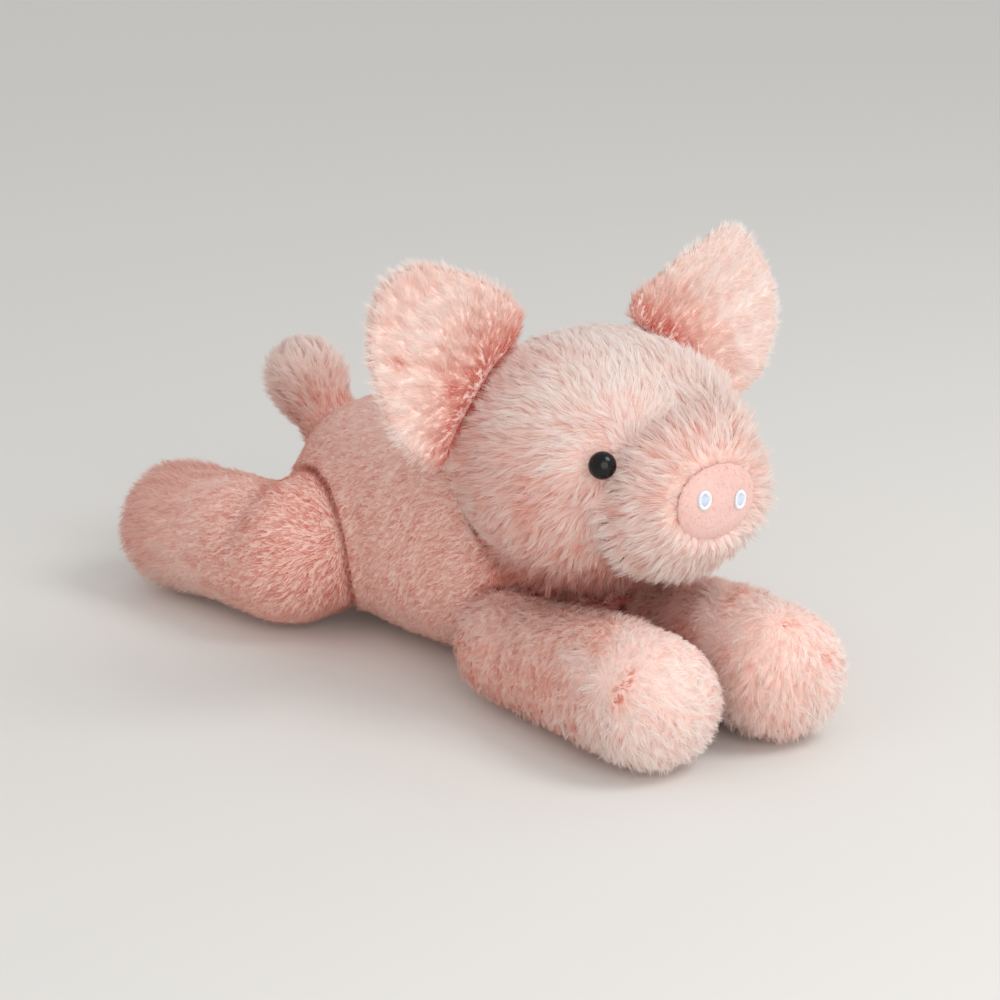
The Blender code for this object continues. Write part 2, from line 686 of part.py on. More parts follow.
def ear_warp(side):
    """Place a flat ear: its root on the head, its rim cupped forwards."""
    middle, along, up, front = ear_axes(side)

    def warp(point):
        across, rise, out = point.x, point.z, point.y
        share = min(1.0, max(0.0, rise / EAR_LENGTH))
        root = middle + along * across + front * out
        head = head_surface(root, up)
        cup = EAR_CUP_DEPTH * (across / (EAR_WIDTH / 2.0)) ** 2 * smooth(share * 2.0)
        height = EAR_SEAT_GAP + rise + head * (1.0 - share)
        return (middle + along * (across - EAR_TIP_SHIFT * share) + up * height
                + front * (out + cup))
    return warp


def make_ear(side, label, parent):
    """The two panels of an ear, face to face."""
    for panel, facing, skin in (("inner", 1.0, DEEP_PLUSH), ("back", -1.0, PALE_PLUSH)):
        sections = []
        spreads = [0.0, EAR_FLAT_SHARE, 1.0]
        depths = [0.0, 0.0, 0.0]
        for index in range(1, EAR_RINGS + 1):
            angle = pi / 2.0 * index / EAR_RINGS
            spreads.append(sqrt(cos(angle)) if index < EAR_RINGS else 0.0)
            depths.append(sin(angle))
        for spread, depth in zip(spreads, depths):
            out = facing * (SEAM_GAP / 2.0 + EAR_PANEL_THICKNESS * depth)
            belly = EAR_LENGTH * EAR_MIDDLE_SHARE
            sections.append(section_at(Vector((0.0, out, belly)), EAR_WIDTH / 2.0 * spread,
                                       (EAR_LENGTH - belly) * spread, belly * spread,
                                       EAR_TIP_POWER, foot_power=EAR_ROOT_POWER))
        soft_form("ear_%s_%s" % (label, panel), sections, EAR_SIDES, skin, parent, ear_warp(side))


def make_stuffed_limb(name, sections_at, parent, mouth, trims_at, floor):
    """A plush limb with an open root, and the stuffing inside it."""
    skin = soft_form(name + "_plush", sections_at(0.0, LEG_BALL_RINGS, LEG_TUBE_RINGS), LEG_SIDES,
                     PALE_PLUSH, parent)
    fine = (LEG_INNER_RINGS, LEG_INNER_RINGS)
    hollow = as_cutter(soft_form("cut_%s_hollow" % name, sections_at(PLUSH_THICKNESS, *fine),
                                 LEG_INNER_SIDES))
    filling = soft_form(name + "_filling", sections_at(PLUSH_THICKNESS + SEAM_GAP, *fine),
                        LEG_INNER_SIDES, STUFFING, parent)
    cut(hollow, trims_at(PLUSH_THICKNESS))
    cut(skin, trims_at(0.0), *floor, hollow, mouth)
    cut(filling, trims_at(PLUSH_THICKNESS + SEAM_GAP))


def make_leg(name, pivot, direction, sizes, parent, trims_at, floor):
    """One stuffed leg, open towards the middle of the torso."""
    inwards = (torso_middle() - pivot).normalized()
    mouth = rod_cutter("cut_%s_mouth" % name, pivot, pivot + inwards * (sizes[1] + CUT_OVERRUN),
                       LIMB_MOUTH_RADIUS)
    make_stuffed_limb(name, leg_form_at(pivot, direction, sizes), parent, mouth, trims_at, (floor,))


def tail_sections(inset, ball_rings, tube_rings):
    """Sections of the tail: a small ball, a stem and a puff, along its lean."""
    lean = Vector((0.0, cos(TAIL_LEAN), sin(TAIL_LEAN)))
    side = Vector((1.0, 0.0, 0.0))
    up = side.cross(lean)
    stations = []
    for index in range(ball_rings + 1):
        angle = pi / 2.0 * index / ball_rings
        radius = TAIL_BALL_RADIUS - inset
        stations.append((-radius * cos(angle), radius * sin(angle)))
    for index in range(1, tube_rings + 1):
        share = index / (tube_rings + 1)
        plain = TAIL_BALL_RADIUS + (TAIL_PUFF_RADIUS - TAIL_BALL_RADIUS) * smooth(share)
        stations.append((TAIL_REACH * share, plain - inset))
    for index in range(ball_rings + 1):
        angle = pi / 2.0 * index / ball_rings
        radius = TAIL_PUFF_RADIUS - inset
        stations.append((TAIL_REACH + radius * sin(angle), radius * cos(angle)))
    return [section_at(tail_pivot() + lean * along, radius, radius, radius, 2.0, side=side, up=up)
            for along, radius in stations]


def make_tail(parent, trims_at):
    """The tail, with its root open towards the torso."""
    lean = Vector((0.0, cos(TAIL_LEAN), sin(TAIL_LEAN)))
    mouth = rod_cutter("cut_tail_mouth", tail_pivot(),
                       tail_pivot() - lean * (TAIL_BALL_RADIUS + CUT_OVERRUN), TAIL_MOUTH_RADIUS)
    make_stuffed_limb("tail", tail_sections, parent, mouth, trims_at, ())


def joint_balls():
    """Name, centre and radius of each ball joint that the torso makes room for."""
    balls = [("neck", neck_pivot(), NECK_BALL_RADIUS), ("tail", tail_pivot(), TAIL_BALL_RADIUS)]
    for side, word in ((LEFT, "left"), (RIGHT, "right")):
        balls.append(("shoulder_" + word, shoulder(side), SHOULDER_RADIUS))
        balls.append(("hip_" + word, hip(side), HIP_RADIUS))
    return balls


def torso_sockets(label, wall):
    """The torso's ball sockets, each grown by a wall."""
    sides = INNER_CUTTER_SIDES if wall > 0.0 else CUTTER_SIDES
    return [ball_cutter("cut_%s_%s" % (name, label), centre, radius + BALL_GAP + wall, sides)
            for name, centre, radius in joint_balls()]


def limb_trim_maker():
    """A function that gives the torso, grown by a wall and a gap, for cutting the limbs."""
    made = {}

    def trims_at(wall):
        if wall not in made:
            label = "cut_by_torso_%d" % len(made)
            sides = INNER_CUTTER_SIDES if wall > 0.0 else CUTTER_SIDES
            room = BALL_GAP - SEAM_GAP - wall
            sockets = [ball_cutter("%s_%s" % (label, name), centre, radius + room, sides, True)
                       for name, centre, radius in joint_balls() if name != "neck"]
            grown = soft_form(label, torso_sections(-wall - SEAM_GAP, TORSO_RINGS), TORSO_SIDES)
            made[wall] = cut(as_cutter(grown), *sockets)
        return made[wall]
    return trims_at


def main():
    """Build every piece of the pig."""
    clear_scene()
    floor = floor_cutter()
    trims_at = limb_trim_maker()
    make_torso(floor)
    neck = pivot_empty("neck_joint", neck_pivot())
    make_neck_plug(neck)
    make_head(neck)
    make_muzzle(neck)
    front_sizes = (SHOULDER_RADIUS, FRONT_LEG_WAIST_RADIUS, FRONT_PAW_RADIUS, FRONT_PAW_TIP)
    hind_sizes = (HIP_RADIUS, HIND_LEG_WAIST_RADIUS, HIND_FOOT_RADIUS, HIND_FOOT_TIP)
    for side, label, reach, turn in ((LEFT, "left", LEFT_FRONT_REACH, LEFT_FRONT_TURN),
                                     (RIGHT, "right", RIGHT_FRONT_REACH, RIGHT_FRONT_TURN)):
        make_eye(side, label, neck)
        make_ear(side, label, pivot_empty("ear_joint_" + label, ear_pivot(side)))
        direction = Vector((-side * sin(turn), -cos(turn), 0.0))
        make_leg("front_leg_" + label, shoulder(side), direction, (reach, *front_sizes),
                 pivot_empty("shoulder_joint_" + label, shoulder(side)), trims_at, floor)
        direction = Vector((-side * sin(HIND_TURN), cos(HIND_TURN), 0.0))
        make_leg("hind_leg_" + label, hip(side), direction, (HIND_REACH, *hind_sizes),
                 pivot_empty("hip_joint_" + label, hip(side)), trims_at, floor)
    make_tail(pivot_empty("tail_joint", tail_pivot()), trims_at)


main()
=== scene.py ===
"""Plush pig lying on its belly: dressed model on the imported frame."""

import math
import bpy
import numpy as np
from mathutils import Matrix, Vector
from mathutils.bvhtree import BVHTree
from mathutils.kdtree import KDTree


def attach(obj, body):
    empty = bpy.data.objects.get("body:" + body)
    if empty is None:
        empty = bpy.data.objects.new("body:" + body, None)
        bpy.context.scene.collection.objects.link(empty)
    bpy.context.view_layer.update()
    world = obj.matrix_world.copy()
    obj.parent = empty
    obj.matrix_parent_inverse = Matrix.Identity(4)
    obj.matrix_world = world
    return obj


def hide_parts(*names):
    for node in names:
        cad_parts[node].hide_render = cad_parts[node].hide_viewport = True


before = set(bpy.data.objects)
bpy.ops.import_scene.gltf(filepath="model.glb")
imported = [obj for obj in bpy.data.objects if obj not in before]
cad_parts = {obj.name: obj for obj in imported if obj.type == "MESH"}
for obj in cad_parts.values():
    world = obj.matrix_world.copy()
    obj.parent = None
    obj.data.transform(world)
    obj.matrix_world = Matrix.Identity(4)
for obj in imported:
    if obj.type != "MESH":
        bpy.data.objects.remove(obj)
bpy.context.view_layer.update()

MM = 0.001

# Camera of the photograph
CAMERA_AZIMUTH = math.radians(39.0)
CAMERA_ELEVATION = math.radians(17.5)
CAMERA_TARGET = (0.0, -0.004, 0.062)
CAMERA_DISTANCE = 1.2
CAMERA_LENS = 112.32
CAMERA_SENSOR = 36.0

# Lamps: right of the camera's line, towards the camera and up from the target, then size and power
KEY_LAMP = (0.74, 0.38, 0.86, 0.6, 4.7)
FILL_LAMP = (0.40, 1.22, 0.0, 1.1, 5.4)
SKY_STRENGTH = 0.64
FLOOR_REACH = 6

# Skins
SKIN_VOXEL = 2.2 * MM
SKIN_ROUNDS = 14
SEAM_INSET = 0.25 * MM  # inset of a skin where it meets a neighbour
SEAM_FADE = (0.002, 0.010)  # from the seam's inset to the full one
FAR_AWAY = 0.03  # nothing farther than this counts as a neighbour

# Stuffing
STUFF_VOXEL = 5.0 * MM
STUFF_FRAMES = 20
STUFF_QUALITY = 4
STUFF_PRESSURE = 4.0
STUFF_REACH = 1.2 * MM  # farthest that the cloth may move a skin
SEWN = (2.0 * MM, 7.0 * MM)  # held at the seam, free beyond it
CARRIERS = 5  # cloth points that move each point of the skin
CARRIER_SOFTNESS = 0.001

# Pile beside a seam
SEAM_LIFT = math.radians(46)
SEAM_BARE = 0.25 * MM
# painted shade: strands within about this distance of a neighbour's skin are darker, as the shade in the
# seam
SEAM_SHADE_REACH = 7.0 * MM
STRAND_GAP = 0.35 * MM

# Strands
PILE_ROWS = 256  # rows of shade in the fibre colours
ROOT_DEPTH = 0.0004
GROUND = 0.0002
GROUND_EDGE = 0.0001
STRAND_LENGTHS = (0.72, 1.1)
STRAND_WIDTHS = (0.75, 1.25)
STRAND_TWIST = 0.35
TAPER = 0.45
RISE_AT_ROOT, RISE_LOST = 1.35, 0.85
DROOP = 0.16
SOFT_NORMAL = (0.35, 0.65)  # shares of the skin's and the ribbon's own direction

# Tufts, in sizes of a tuft
TUFT_EDGE = 1.2
CLUMP_REACH = 1.4
# strands at a tuft's edge are shorter, and darker: partly the darker colour of the roots seen in a parting,
# partly painted shade in it
EDGE_SHORTER, EDGE_TONE_AND_SHADE = 0.25, 0.14

SIDES = {"left": 1.0, "right": -1.0}


def unit(v):
    return v / np.maximum(np.linalg.norm(v, axis=-1, keepdims=True), 1e-12)


def srgb(r, g, b):
    """Linear colour of an sRGB colour given in 0 to 255."""
    c = np.array((r, g, b)) / 255
    c = np.where(c <= 0.04045, c / 12.92, ((c + 0.055) / 1.055) ** 2.4)
    return (*c.tolist(), 1.0)


# ------------ materials


def new_material(name):
    m = bpy.data.materials.new(name)
    m.use_nodes = True
    nodes, links = m.node_tree.nodes, m.node_tree.links
    nodes.clear()
    out = nodes.new("ShaderNodeOutputMaterial")
    return m, nodes, links, out


def ramp(nodes, stops):
    node = nodes.new("ShaderNodeValToRGB")
    e = node.color_ramp.elements
    e[0].position, e[0].color = stops[0]
    e[1].position, e[1].color = stops[-1]
    for place, colour in stops[1:-1]:
        e.new(place).color = colour
    return node


def principled(nodes, rough, sheen=0.0, sheen_rough=0.5, coat=0.0, specular=0.5):
    p = nodes.new("ShaderNodeBsdfPrincipled")
    p.inputs["Roughness"].default_value = rough
    p.inputs["Sheen Weight"].default_value = sheen
    p.inputs["Sheen Roughness"].default_value = sheen_rough
    p.inputs["Coat Weight"].default_value = coat
    p.inputs["Specular IOR Level"].default_value = specular
    return p


def noise(nodes, links, vector, scale, detail=3.0, rough=0.55):
    n = nodes.new("ShaderNodeTexNoise")
    n.inputs["Scale"].default_value = scale
    n.inputs["Detail"].default_value = detail
    n.inputs["Roughness"].default_value = rough
    links.new(vector, n.inputs["Vector"])
    return n.outputs["Fac"]


def mixed(nodes, links, factor, a, b):
    m = nodes.new("ShaderNodeMix")
    m.data_type = "RGBA"
    if isinstance(factor, float):
        m.inputs["Factor"].default_value = factor
    else:
        links.new(factor, m.inputs["Factor"])
    for socket, value in ((m.inputs["A"], a), (m.inputs["B"], b)):
        if isinstance(value, tuple):
            socket.default_value = value
        else:
            links.new(value, socket)
    return m.outputs["Result"]


def bump(nodes, links, height, strength, distance):
    b = nodes.new("ShaderNodeBump")
    b.inputs["Strength"].default_value = strength
    b.inputs["Distance"].default_value = distance
    links.new(height, b.inputs["Height"])
    return b.outputs["Normal"]


TIP_COLOUR_FROM, TIP_COLOUR_FULL = 0.02, 0.62


def pile_material(name, roots, tips, through=0.5):
    """Fibre colour from root to tip along u, and from deep to pale strands along v."""
    m, nodes, links, out = new_material(name)
    uv = nodes.new("ShaderNodeUVMap")
    uv.uv_map = "OFBake"
    axes = nodes.new("ShaderNodeSeparateXYZ")
    links.new(uv.outputs["UV"], axes.inputs["Vector"])
    root, tip = ramp(nodes, roots), ramp(nodes, tips)
    links.new(axes.outputs["Y"], root.inputs["Fac"])
    links.new(axes.outputs["Y"], tip.inputs["Fac"])
    along = nodes.new("ShaderNodeMapRange")
    along.interpolation_type = "SMOOTHSTEP"
    along.inputs["From Min"].default_value = TIP_COLOUR_FROM
    along.inputs["From Max"].default_value = TIP_COLOUR_FULL
    links.new(axes.outputs["X"], along.inputs["Value"])
    colour = mixed(nodes, links, along.outputs["Result"], root.outputs["Color"], tip.outputs["Color"])
    p = principled(nodes, 0.9, sheen=0.04, sheen_rough=0.4, specular=0.06)
    links.new(colour, p.inputs["Base Color"])
    glow = nodes.new("ShaderNodeBsdfTranslucent")
    links.new(colour, glow.inputs["Color"])
    both = nodes.new("ShaderNodeMixShader")
    both.inputs["Fac"].default_value = through
    links.new(p.outputs["BSDF"], both.inputs[1])
    links.new(glow.outputs["BSDF"], both.inputs[2])
    links.new(both.outputs["Shader"], out.inputs["Surface"])
    return m


def backing_material(name, deep, mid, scale=900.0):
    """Knitted backing under the pile: fine mottling and a fuzzy bump."""
    m, nodes, links, out = new_material(name)
    place = nodes.new("ShaderNodeTexCoord").outputs["Object"]
    broad = noise(nodes, links, place, scale * 0.12, 2.0)
    fine = noise(nodes, links, place, scale, 4.0, 0.65)
    colour = mixed(nodes, links, fine, deep, mid)
    colour = mixed(nodes, links, broad, colour, mid)
    p = principled(nodes, 0.9, sheen=0.2, specular=0.1)
    links.new(colour, p.inputs["Base Color"])
    links.new(bump(nodes, links, fine, 0.6, 0.0006), p.inputs["Normal"])
    links.new(p.outputs["BSDF"], out.inputs["Surface"])
    return m


# ------------ meshes


def arrays_of(ob):
    me = ob.data
    v = np.empty(len(me.vertices) * 3)
    me.vertices.foreach_get("co", v)
    v = v.reshape(-1, 3)
    m = np.array(ob.matrix_world)
    me.calc_loop_triangles()
    t = np.empty(len(me.loop_triangles) * 3, int)
    me.loop_triangles.foreach_get("vertices", t)
    return v @ m[:3, :3].T + m[:3, 3], t.reshape(-1, 3)


def mesh_object(name, verts, faces, material=None, smooth=True):
    me = bpy.data.meshes.new(name)
    if isinstance(faces, np.ndarray):
        faces = faces.tolist()
    me.from_pydata(np.asarray(verts).tolist(), [], faces)
    me.update()
    if smooth:
        me.polygons.foreach_set("use_smooth", np.ones(len(me.polygons), bool))
    ob = bpy.data.objects.new(name, me)
    bpy.context.scene.collection.objects.link(ob)
    if material:
        me.materials.append(material)
    return ob


def applied(ob):
    """Replaces the object's mesh by what its modifiers make of it."""
    bpy.context.view_layer.update()
    me = bpy.data.meshes.new_from_object(ob.evaluated_get(bpy.context.evaluated_depsgraph_get()))
    old = ob.data
    ob.modifiers.clear()
    ob.data = me
    bpy.data.meshes.remove(old)
    return ob


def remeshed(verts, tris, voxel):
    ob = mesh_object("work", verts, tris)
    r = ob.modifiers.new("Voxels", "REMESH")
    r.mode = "VOXEL"
    r.voxel_size = voxel
    applied(ob)
    v, _ = arrays_of(ob)
    q = np.array([tuple(p.vertices) for p in ob.data.polygons])
    bpy.data.objects.remove(ob)
    return outer_part(v, q)


def edges_of(faces):
    e = np.concatenate([faces[:, (i, (i + 1) % faces.shape[1])] for i in range(faces.shape[1])])
    e.sort(axis=1)
    return np.unique(e, axis=0)


def outer_part(v, faces):
    """Keeps the connected part with the largest box, which is the outside."""
    e = edges_of(faces)
    label = np.arange(len(v))
    while True:
        low = np.minimum(label[e[:, 0]], label[e[:, 1]])
        new = label.copy()
        np.minimum.at(new, e[:, 0], low)
        np.minimum.at(new, e[:, 1], low)
        new = new[new]
        if (new == label).all():
            break
        label = new
    best, keep = -1.0, None
    for part in np.unique(label):
        mine = label == part
        size = np.prod(np.ptp(v[mine], axis=0))
        if size > best:
            best, keep = size, mine
    number = np.cumsum(keep) - 1
    return v[keep], number[faces[keep[faces].all(axis=1)]]


def smoothed(v, faces, rounds, hold=0.53, step=0.5):
    """Rounds a mesh off and keeps its volume."""
    e = edges_of(faces)
    degree = np.bincount(e.ravel(), minlength=len(v))[:, None]
    for i in range(rounds * 2):
        total = np.zeros_like(v)
        for axis in range(3):
            for one, other in ((e[:, 0], e[:, 1]), (e[:, 1], e[:, 0])):
                total[:, axis] += np.bincount(one, v[other, axis], len(v))
        v = v + (step if i % 2 == 0 else -hold) * (total / degree - v)
    return v


def triangles(faces):
    if faces.shape[1] == 3:
        return faces
    return np.concatenate([faces[:, (0, 1, 2)], faces[:, (0, 2, 3)]])


def normals(v, faces):
    t = triangles(faces)
    n = np.cross(v[t[:, 1]] - v[t[:, 0]], v[t[:, 2]] - v[t[:, 0]])
    out = np.zeros_like(v)
    for k in range(3):
        for axis in range(3):
            out[:, axis] += np.bincount(t[:, k], n[:, axis], len(v))
    return unit(out)


class Skin:
    """A closed outer skin in the row frame, with its tree for distances."""

    def __init__(self, v, faces):
        self.v, self.faces = v, faces
        self.tris = triangles(faces)
        self.n = normals(v, faces)
        self.tree = BVHTree.FromPolygons(v.tolist(), faces.tolist())

    def clearance(self, points):
        """Signed distance of each point from this skin, below zero inside."""
        out = np.empty(len(points))
        for i, p in enumerate(points.tolist()):
            place, normal, _, far = self.tree.find_nearest(p)
            out[i] = far if (Vector(p) - place).dot(normal) > 0 else -far
        return out

    def pushed(self, points, low):
        """These points, moved out to at least low above the skin."""
        out = points.copy()
        for i, p in enumerate(points.tolist()):
            place, normal, _, _ = self.tree.find_nearest(p)
            gap = (Vector(p) - place).dot(normal)
            if gap < low:
                out[i] += np.array(normal) * (low - gap)
        return out


def solid_tree(node):
    v, t = arrays_of(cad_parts[node])
    return BVHTree.FromPolygons(v.tolist(), t.tolist())


def distance_to(points, nodes):
    """How far each point is from the nearest of these CAD solids."""
    trees = [solid_tree(n) for n in nodes]
    far = [[tree.find_nearest(p, FAR_AWAY)[3] for tree in trees] for p in points.tolist()]
    return np.array([[FAR_AWAY if d is None else d for d in row] for row in far]).min(1)


def stuffed(v, faces, beside):
    """Fills a skin out like a bag: cloth under pressure, held where it is sewn to its neighbours."""
    coarse, quads = remeshed(v, triangles(faces), STUFF_VOXEL)
    ob = mesh_object("bag", coarse, quads)
    sewn = ob.vertex_groups.new(name="sewn")
    hold = 1 - near_smooth(distance_to(coarse, beside), *SEWN) if beside else np.zeros(len(coarse))
    for i in np.flatnonzero(hold > 0.01).tolist():
        sewn.add([i], float(hold[i]), "REPLACE")
    cloth = ob.modifiers.new("Cloth", "CLOTH")
    cloth.settings.quality = STUFF_QUALITY
    cloth.settings.vertex_group_mass = "sewn"
    cloth.settings.use_pressure = True
    cloth.settings.uniform_pressure_force = STUFF_PRESSURE
    cloth.settings.effector_weights.gravity = 0.0
    cloth.point_cache.frame_end = STUFF_FRAMES
    for number in range(1, STUFF_FRAMES + 1):
        bpy.context.scene.frame_set(number)
    applied(ob)
    move = arrays_of(ob)[0] - coarse
    bpy.data.objects.remove(ob)
    bpy.context.scene.frame_set(1)
    far = np.linalg.norm(move, axis=1, keepdims=True)
    move *= np.minimum(1, STUFF_REACH / np.maximum(far, 1e-9))
    tree = KDTree(len(coarse))
    for i, c in enumerate(coarse.tolist()):
        tree.insert(c, i)
    tree.balance()
    out = v.copy()
    for i, p in enumerate(v.tolist()):
        found = tree.find_n(p, CARRIERS)
        share = np.array([1 / (f[2] + CARRIER_SOFTNESS) ** 2 for f in found])
        out[i] += (move[[f[1] for f in found]] * share[:, None]).sum(0) / share.sum()
    return out


def skin_of(nodes, inset, beside=(), voxel=SKIN_VOXEL, rounds=SKIN_ROUNDS, last_rounds=6,
            shape=None, stuff=False):
    """The rounded outside of these CAD solids together, drawn in by inset.

    It is drawn in less where it meets the neighbours that beside names. shape moves its
    vertices, and stuff lets the cloth fill it out.
    """
    verts, tris, base = [], [], 0
    for name in nodes:
        v, t = arrays_of(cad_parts[name])
        verts.append(v)
        tris.append(t + base)
        base += len(v)
    v, q = remeshed(np.concatenate(verts), np.concatenate(tris), voxel)
    v = smoothed(v, q, rounds)
    depth = np.full(len(v), inset)
    if beside:
        free = near_smooth(distance_to(v, beside), *SEAM_FADE)
        depth = SEAM_INSET + (depth - SEAM_INSET) * free
    v = v - normals(v, q) * depth[:, None]
    if shape:
        v = shape(v, normals(v, q))
    v, q = remeshed(v, triangles(q), voxel)
    if stuff:
        v = stuffed(v, q, beside)
    return Skin(smoothed(v, q, last_rounds), q)


# ------------ pile


def tangent(d, n):
    return unit(d - n * (d * n).sum(1, keepdims=True))


def turned(d, n, angle):
    return d * np.cos(angle)[:, None] + np.cross(n, d) * np.sin(angle)[:, None]


def wander(p, rng, size, waves=6):
    """A smooth random field, about -1 to 1, with hills about size across."""
    out = np.zeros(len(p))
    for _ in range(waves):
        k = unit(rng.normal(size=3)) * (2 * math.pi / (size * rng.uniform(0.7, 1.6)))
        out += np.sin(p @ k + rng.uniform(0, 2 * math.pi))
    return out / math.sqrt(waves)


def near_smooth(x, low, high):
    t = np.clip((x - low) / (high - low), 0, 1)
    return t * t * (3 - 2 * t)


def areas(skin, weight=None):
    """Area of each triangle of a skin, times its weight."""
    v, t = skin.v, skin.tris
    area = np.linalg.norm(np.cross(v[t[:, 1]] - v[t[:, 0]], v[t[:, 2]] - v[t[:, 0]]), axis=1) / 2
    return area * weight(v[t].mean(1)) if weight else area


def scattered(skin, count, rng, weight=None):
    """Random places on a skin: points, directions, and the corners and shares they lie between."""
    v, t = skin.v, skin.tris
    total = np.cumsum(areas(skin, weight))
    pick = np.searchsorted(total, (np.arange(count) + rng.random(count)) / count * total[-1])
    pick = np.minimum(pick, len(t) - 1)
    a, b = rng.random(count), rng.random(count)
    over = a + b > 1
    a[over], b[over] = 1 - a[over], 1 - b[over]
    w = np.stack([1 - a - b, a, b], 1)[:, :, None]
    corners = t[pick]
    return (v[corners] * w).sum(1), unit((skin.n[corners] * w).sum(1)), corners, w[:, :, 0]


def pile(name, skin, body, material, count, comb, seed, others=(), tuft=2.0 * MM, weight=None,
         width=0.3 * MM, clump=0.6, steps=3, parts=None):
    """Grows strands on a skin as tapered ribbons, in one piece or in the parts asked for.

    comb gives for each root its flow, length, lift and shade, and how tufts and strands stray
    from them. others are the skins of neighbours, which the strands keep out of.
    """
    rng = np.random.default_rng(seed)
    p, n, corners, w = scattered(skin, count, rng, weight)
    rooms = np.stack([other.clearance(skin.v) for other in others] or [np.full(len(skin.v), 1.0)])
    rooms = (rooms[:, corners] * w).sum(2)
    keep = rooms.min(0) > SEAM_BARE
    p, n, rooms, corners, w = p[keep], n[keep], rooms[:, keep], corners[keep], w[keep]
    room = rooms.min(0)
    count = len(p)

    def at(values):
        return (values[corners] * w).sum(1)

    style = comb(p, n, at)
    flow = tangent(style["flow"], n)
    length = style["length"] * np.ones(count)
    lift = np.radians(style["lift"] * np.ones(count))
    shade = style["shade"] * np.ones(count)
    stray = style.get("stray", 0.16)
    curl = style.get("curl", 0.0) * np.ones(count)

    centre_count = max(4, int(areas(skin, weight).sum() / tuft**2))
    centres = rng.choice(count, min(centre_count, count), replace=False)
    tree = KDTree(len(centres))
    for i, c in enumerate(p[centres].tolist()):
        tree.insert(c, i)
    tree.balance()
    found = [tree.find(c) for c in p.tolist()]
    mine = np.array([f[1] for f in found])
    away = np.array([f[2] for f in found]) / tuft
    edge = np.minimum(away, TUFT_EDGE) ** 2
    tuft_turn = rng.normal(0, style.get("tuft_turn", 0.22), len(centres))
    tuft_lift = rng.normal(0, 0.12, len(centres))
    tuft_long = rng.normal(1, 0.1, len(centres))
    tuft_shade = rng.normal(0, style.get("tuft_shade", 0.07), len(centres))

    lock = wander(p, rng, 7 * MM) * style.get("lock", 0.12)
    drift = wander(p, rng, 14 * MM) * style.get("drift", 0.2) + lock
    flow = turned(flow, n, drift + tuft_turn[mine] + rng.normal(0, stray, count))
    lift = np.clip(lift * (1 + tuft_lift[mine]) + rng.normal(0, 0.1, count), 0.05, 1.5)
    crowd = np.clip(room / (length * 0.9), 0.25, 1)
    length = length * tuft_long[mine] * rng.uniform(*STRAND_LENGTHS, count) * (1 - EDGE_SHORTER * edge)
    hold = style.get("seam_length", 0.75)
    length = length * (hold + (1 - hold) * crowd)
    lift = lift + (1 - crowd) * SEAM_LIFT
    # tuft edges darker: the roots' colour in a parting and painted shade there
    shade = shade + lock * 0.4 + tuft_shade[mine] + rng.normal(0, 0.05, count) - EDGE_TONE_AND_SHADE * edge
    # painted shade: strands beside a seam are darker, for the seam's shade
    shade = shade - style.get("seam_shade", 0.14) * np.exp(-((room / SEAM_SHADE_REACH) ** 1.5))

    down = np.array((0.0, 0.0, -1.0))
    points = [p - n * ROOT_DEPTH]
    phase = rng.uniform(0, 2 * math.pi, len(centres))[mine]
    across = np.cross(n, flow)
    for k in range(steps):
        along = (k + 0.5) / steps
        rise = lift * (RISE_AT_ROOT - RISE_LOST * along)
        d = flow * np.cos(rise)[:, None] + n * np.sin(rise)[:, None]
        d = d + across * (curl * np.sin(phase + along * 5))[:, None] + down * (DROOP * along)
        points.append(points[-1] + unit(d) * (length / steps)[:, None])
    points = np.stack(points, 1)
    lead = points[centres][mine]
    for k in range(1, steps + 1):
        pull = clump * (k / steps) ** 1.1
        points[:, k] += pull * (lead[:, k] - points[:, k]) * (away < CLUMP_REACH)[:, None]
    for other, far in zip(others, rooms):
        near = far < length * 1.2
        for k in range(1, steps + 1):
            points[near, k] = other.pushed(points[near, k], STRAND_GAP)
    if style.get("hugging"):
        for k in range(1, steps + 1):
            points[:, k] = skin.pushed(points[:, k], STRAND_GAP * (0.5 + k))
    points[:, :, 2] = np.maximum(points[:, :, 2], GROUND)

    # Ribbons
    step = unit(np.diff(points, axis=1))
    half = width / 2 * rng.uniform(*STRAND_WIDTHS, count)
    twist = rng.normal(0, STRAND_TWIST, count)
    verts = np.empty((count, 2 * steps + 1, 3))
    soft = np.empty_like(verts)
    for k in range(steps):
        side = unit(np.cross(step[:, k], n))
        up = np.cross(side, step[:, k])
        side, up = (
            side * np.cos(twist)[:, None] + up * np.sin(twist)[:, None],
            up * np.cos(twist)[:, None] - side * np.sin(twist)[:, None],
        )
        wide = half * (1 - TAPER * (k / (steps - 1)) ** 1.5)
        verts[:, 2 * k] = points[:, k] - side * wide[:, None]
        verts[:, 2 * k + 1] = points[:, k] + side * wide[:, None]
        soft[:, 2 * k] = soft[:, 2 * k + 1] = unit(SOFT_NORMAL[0] * n + SOFT_NORMAL[1] * up)
    verts[:, -1] = points[:, -1]
    soft[:, -1] = soft[:, -2]
    verts[:, :, 2] = np.maximum(verts[:, :, 2], GROUND_EDGE)

    # Each strand's place in the table of fibre colours
    row = np.clip((shade * PILE_ROWS).astype(int), 1, PILE_ROWS - 2)
    us = (np.arange(steps + 1) / steps) * 0.98 + 0.01
    low, high = (row + 0.15) / PILE_ROWS, (row + 0.85) / PILE_ROWS
    uv = np.empty((count, 2 * steps + 1, 2))
    for k in range(steps):
        uv[:, 2 * k, 0] = uv[:, 2 * k + 1, 0] = us[k]
        uv[:, 2 * k, 1], uv[:, 2 * k + 1, 1] = low, high
    uv[:, -1, 0], uv[:, -1, 1] = us[-1], (low + high) / 2

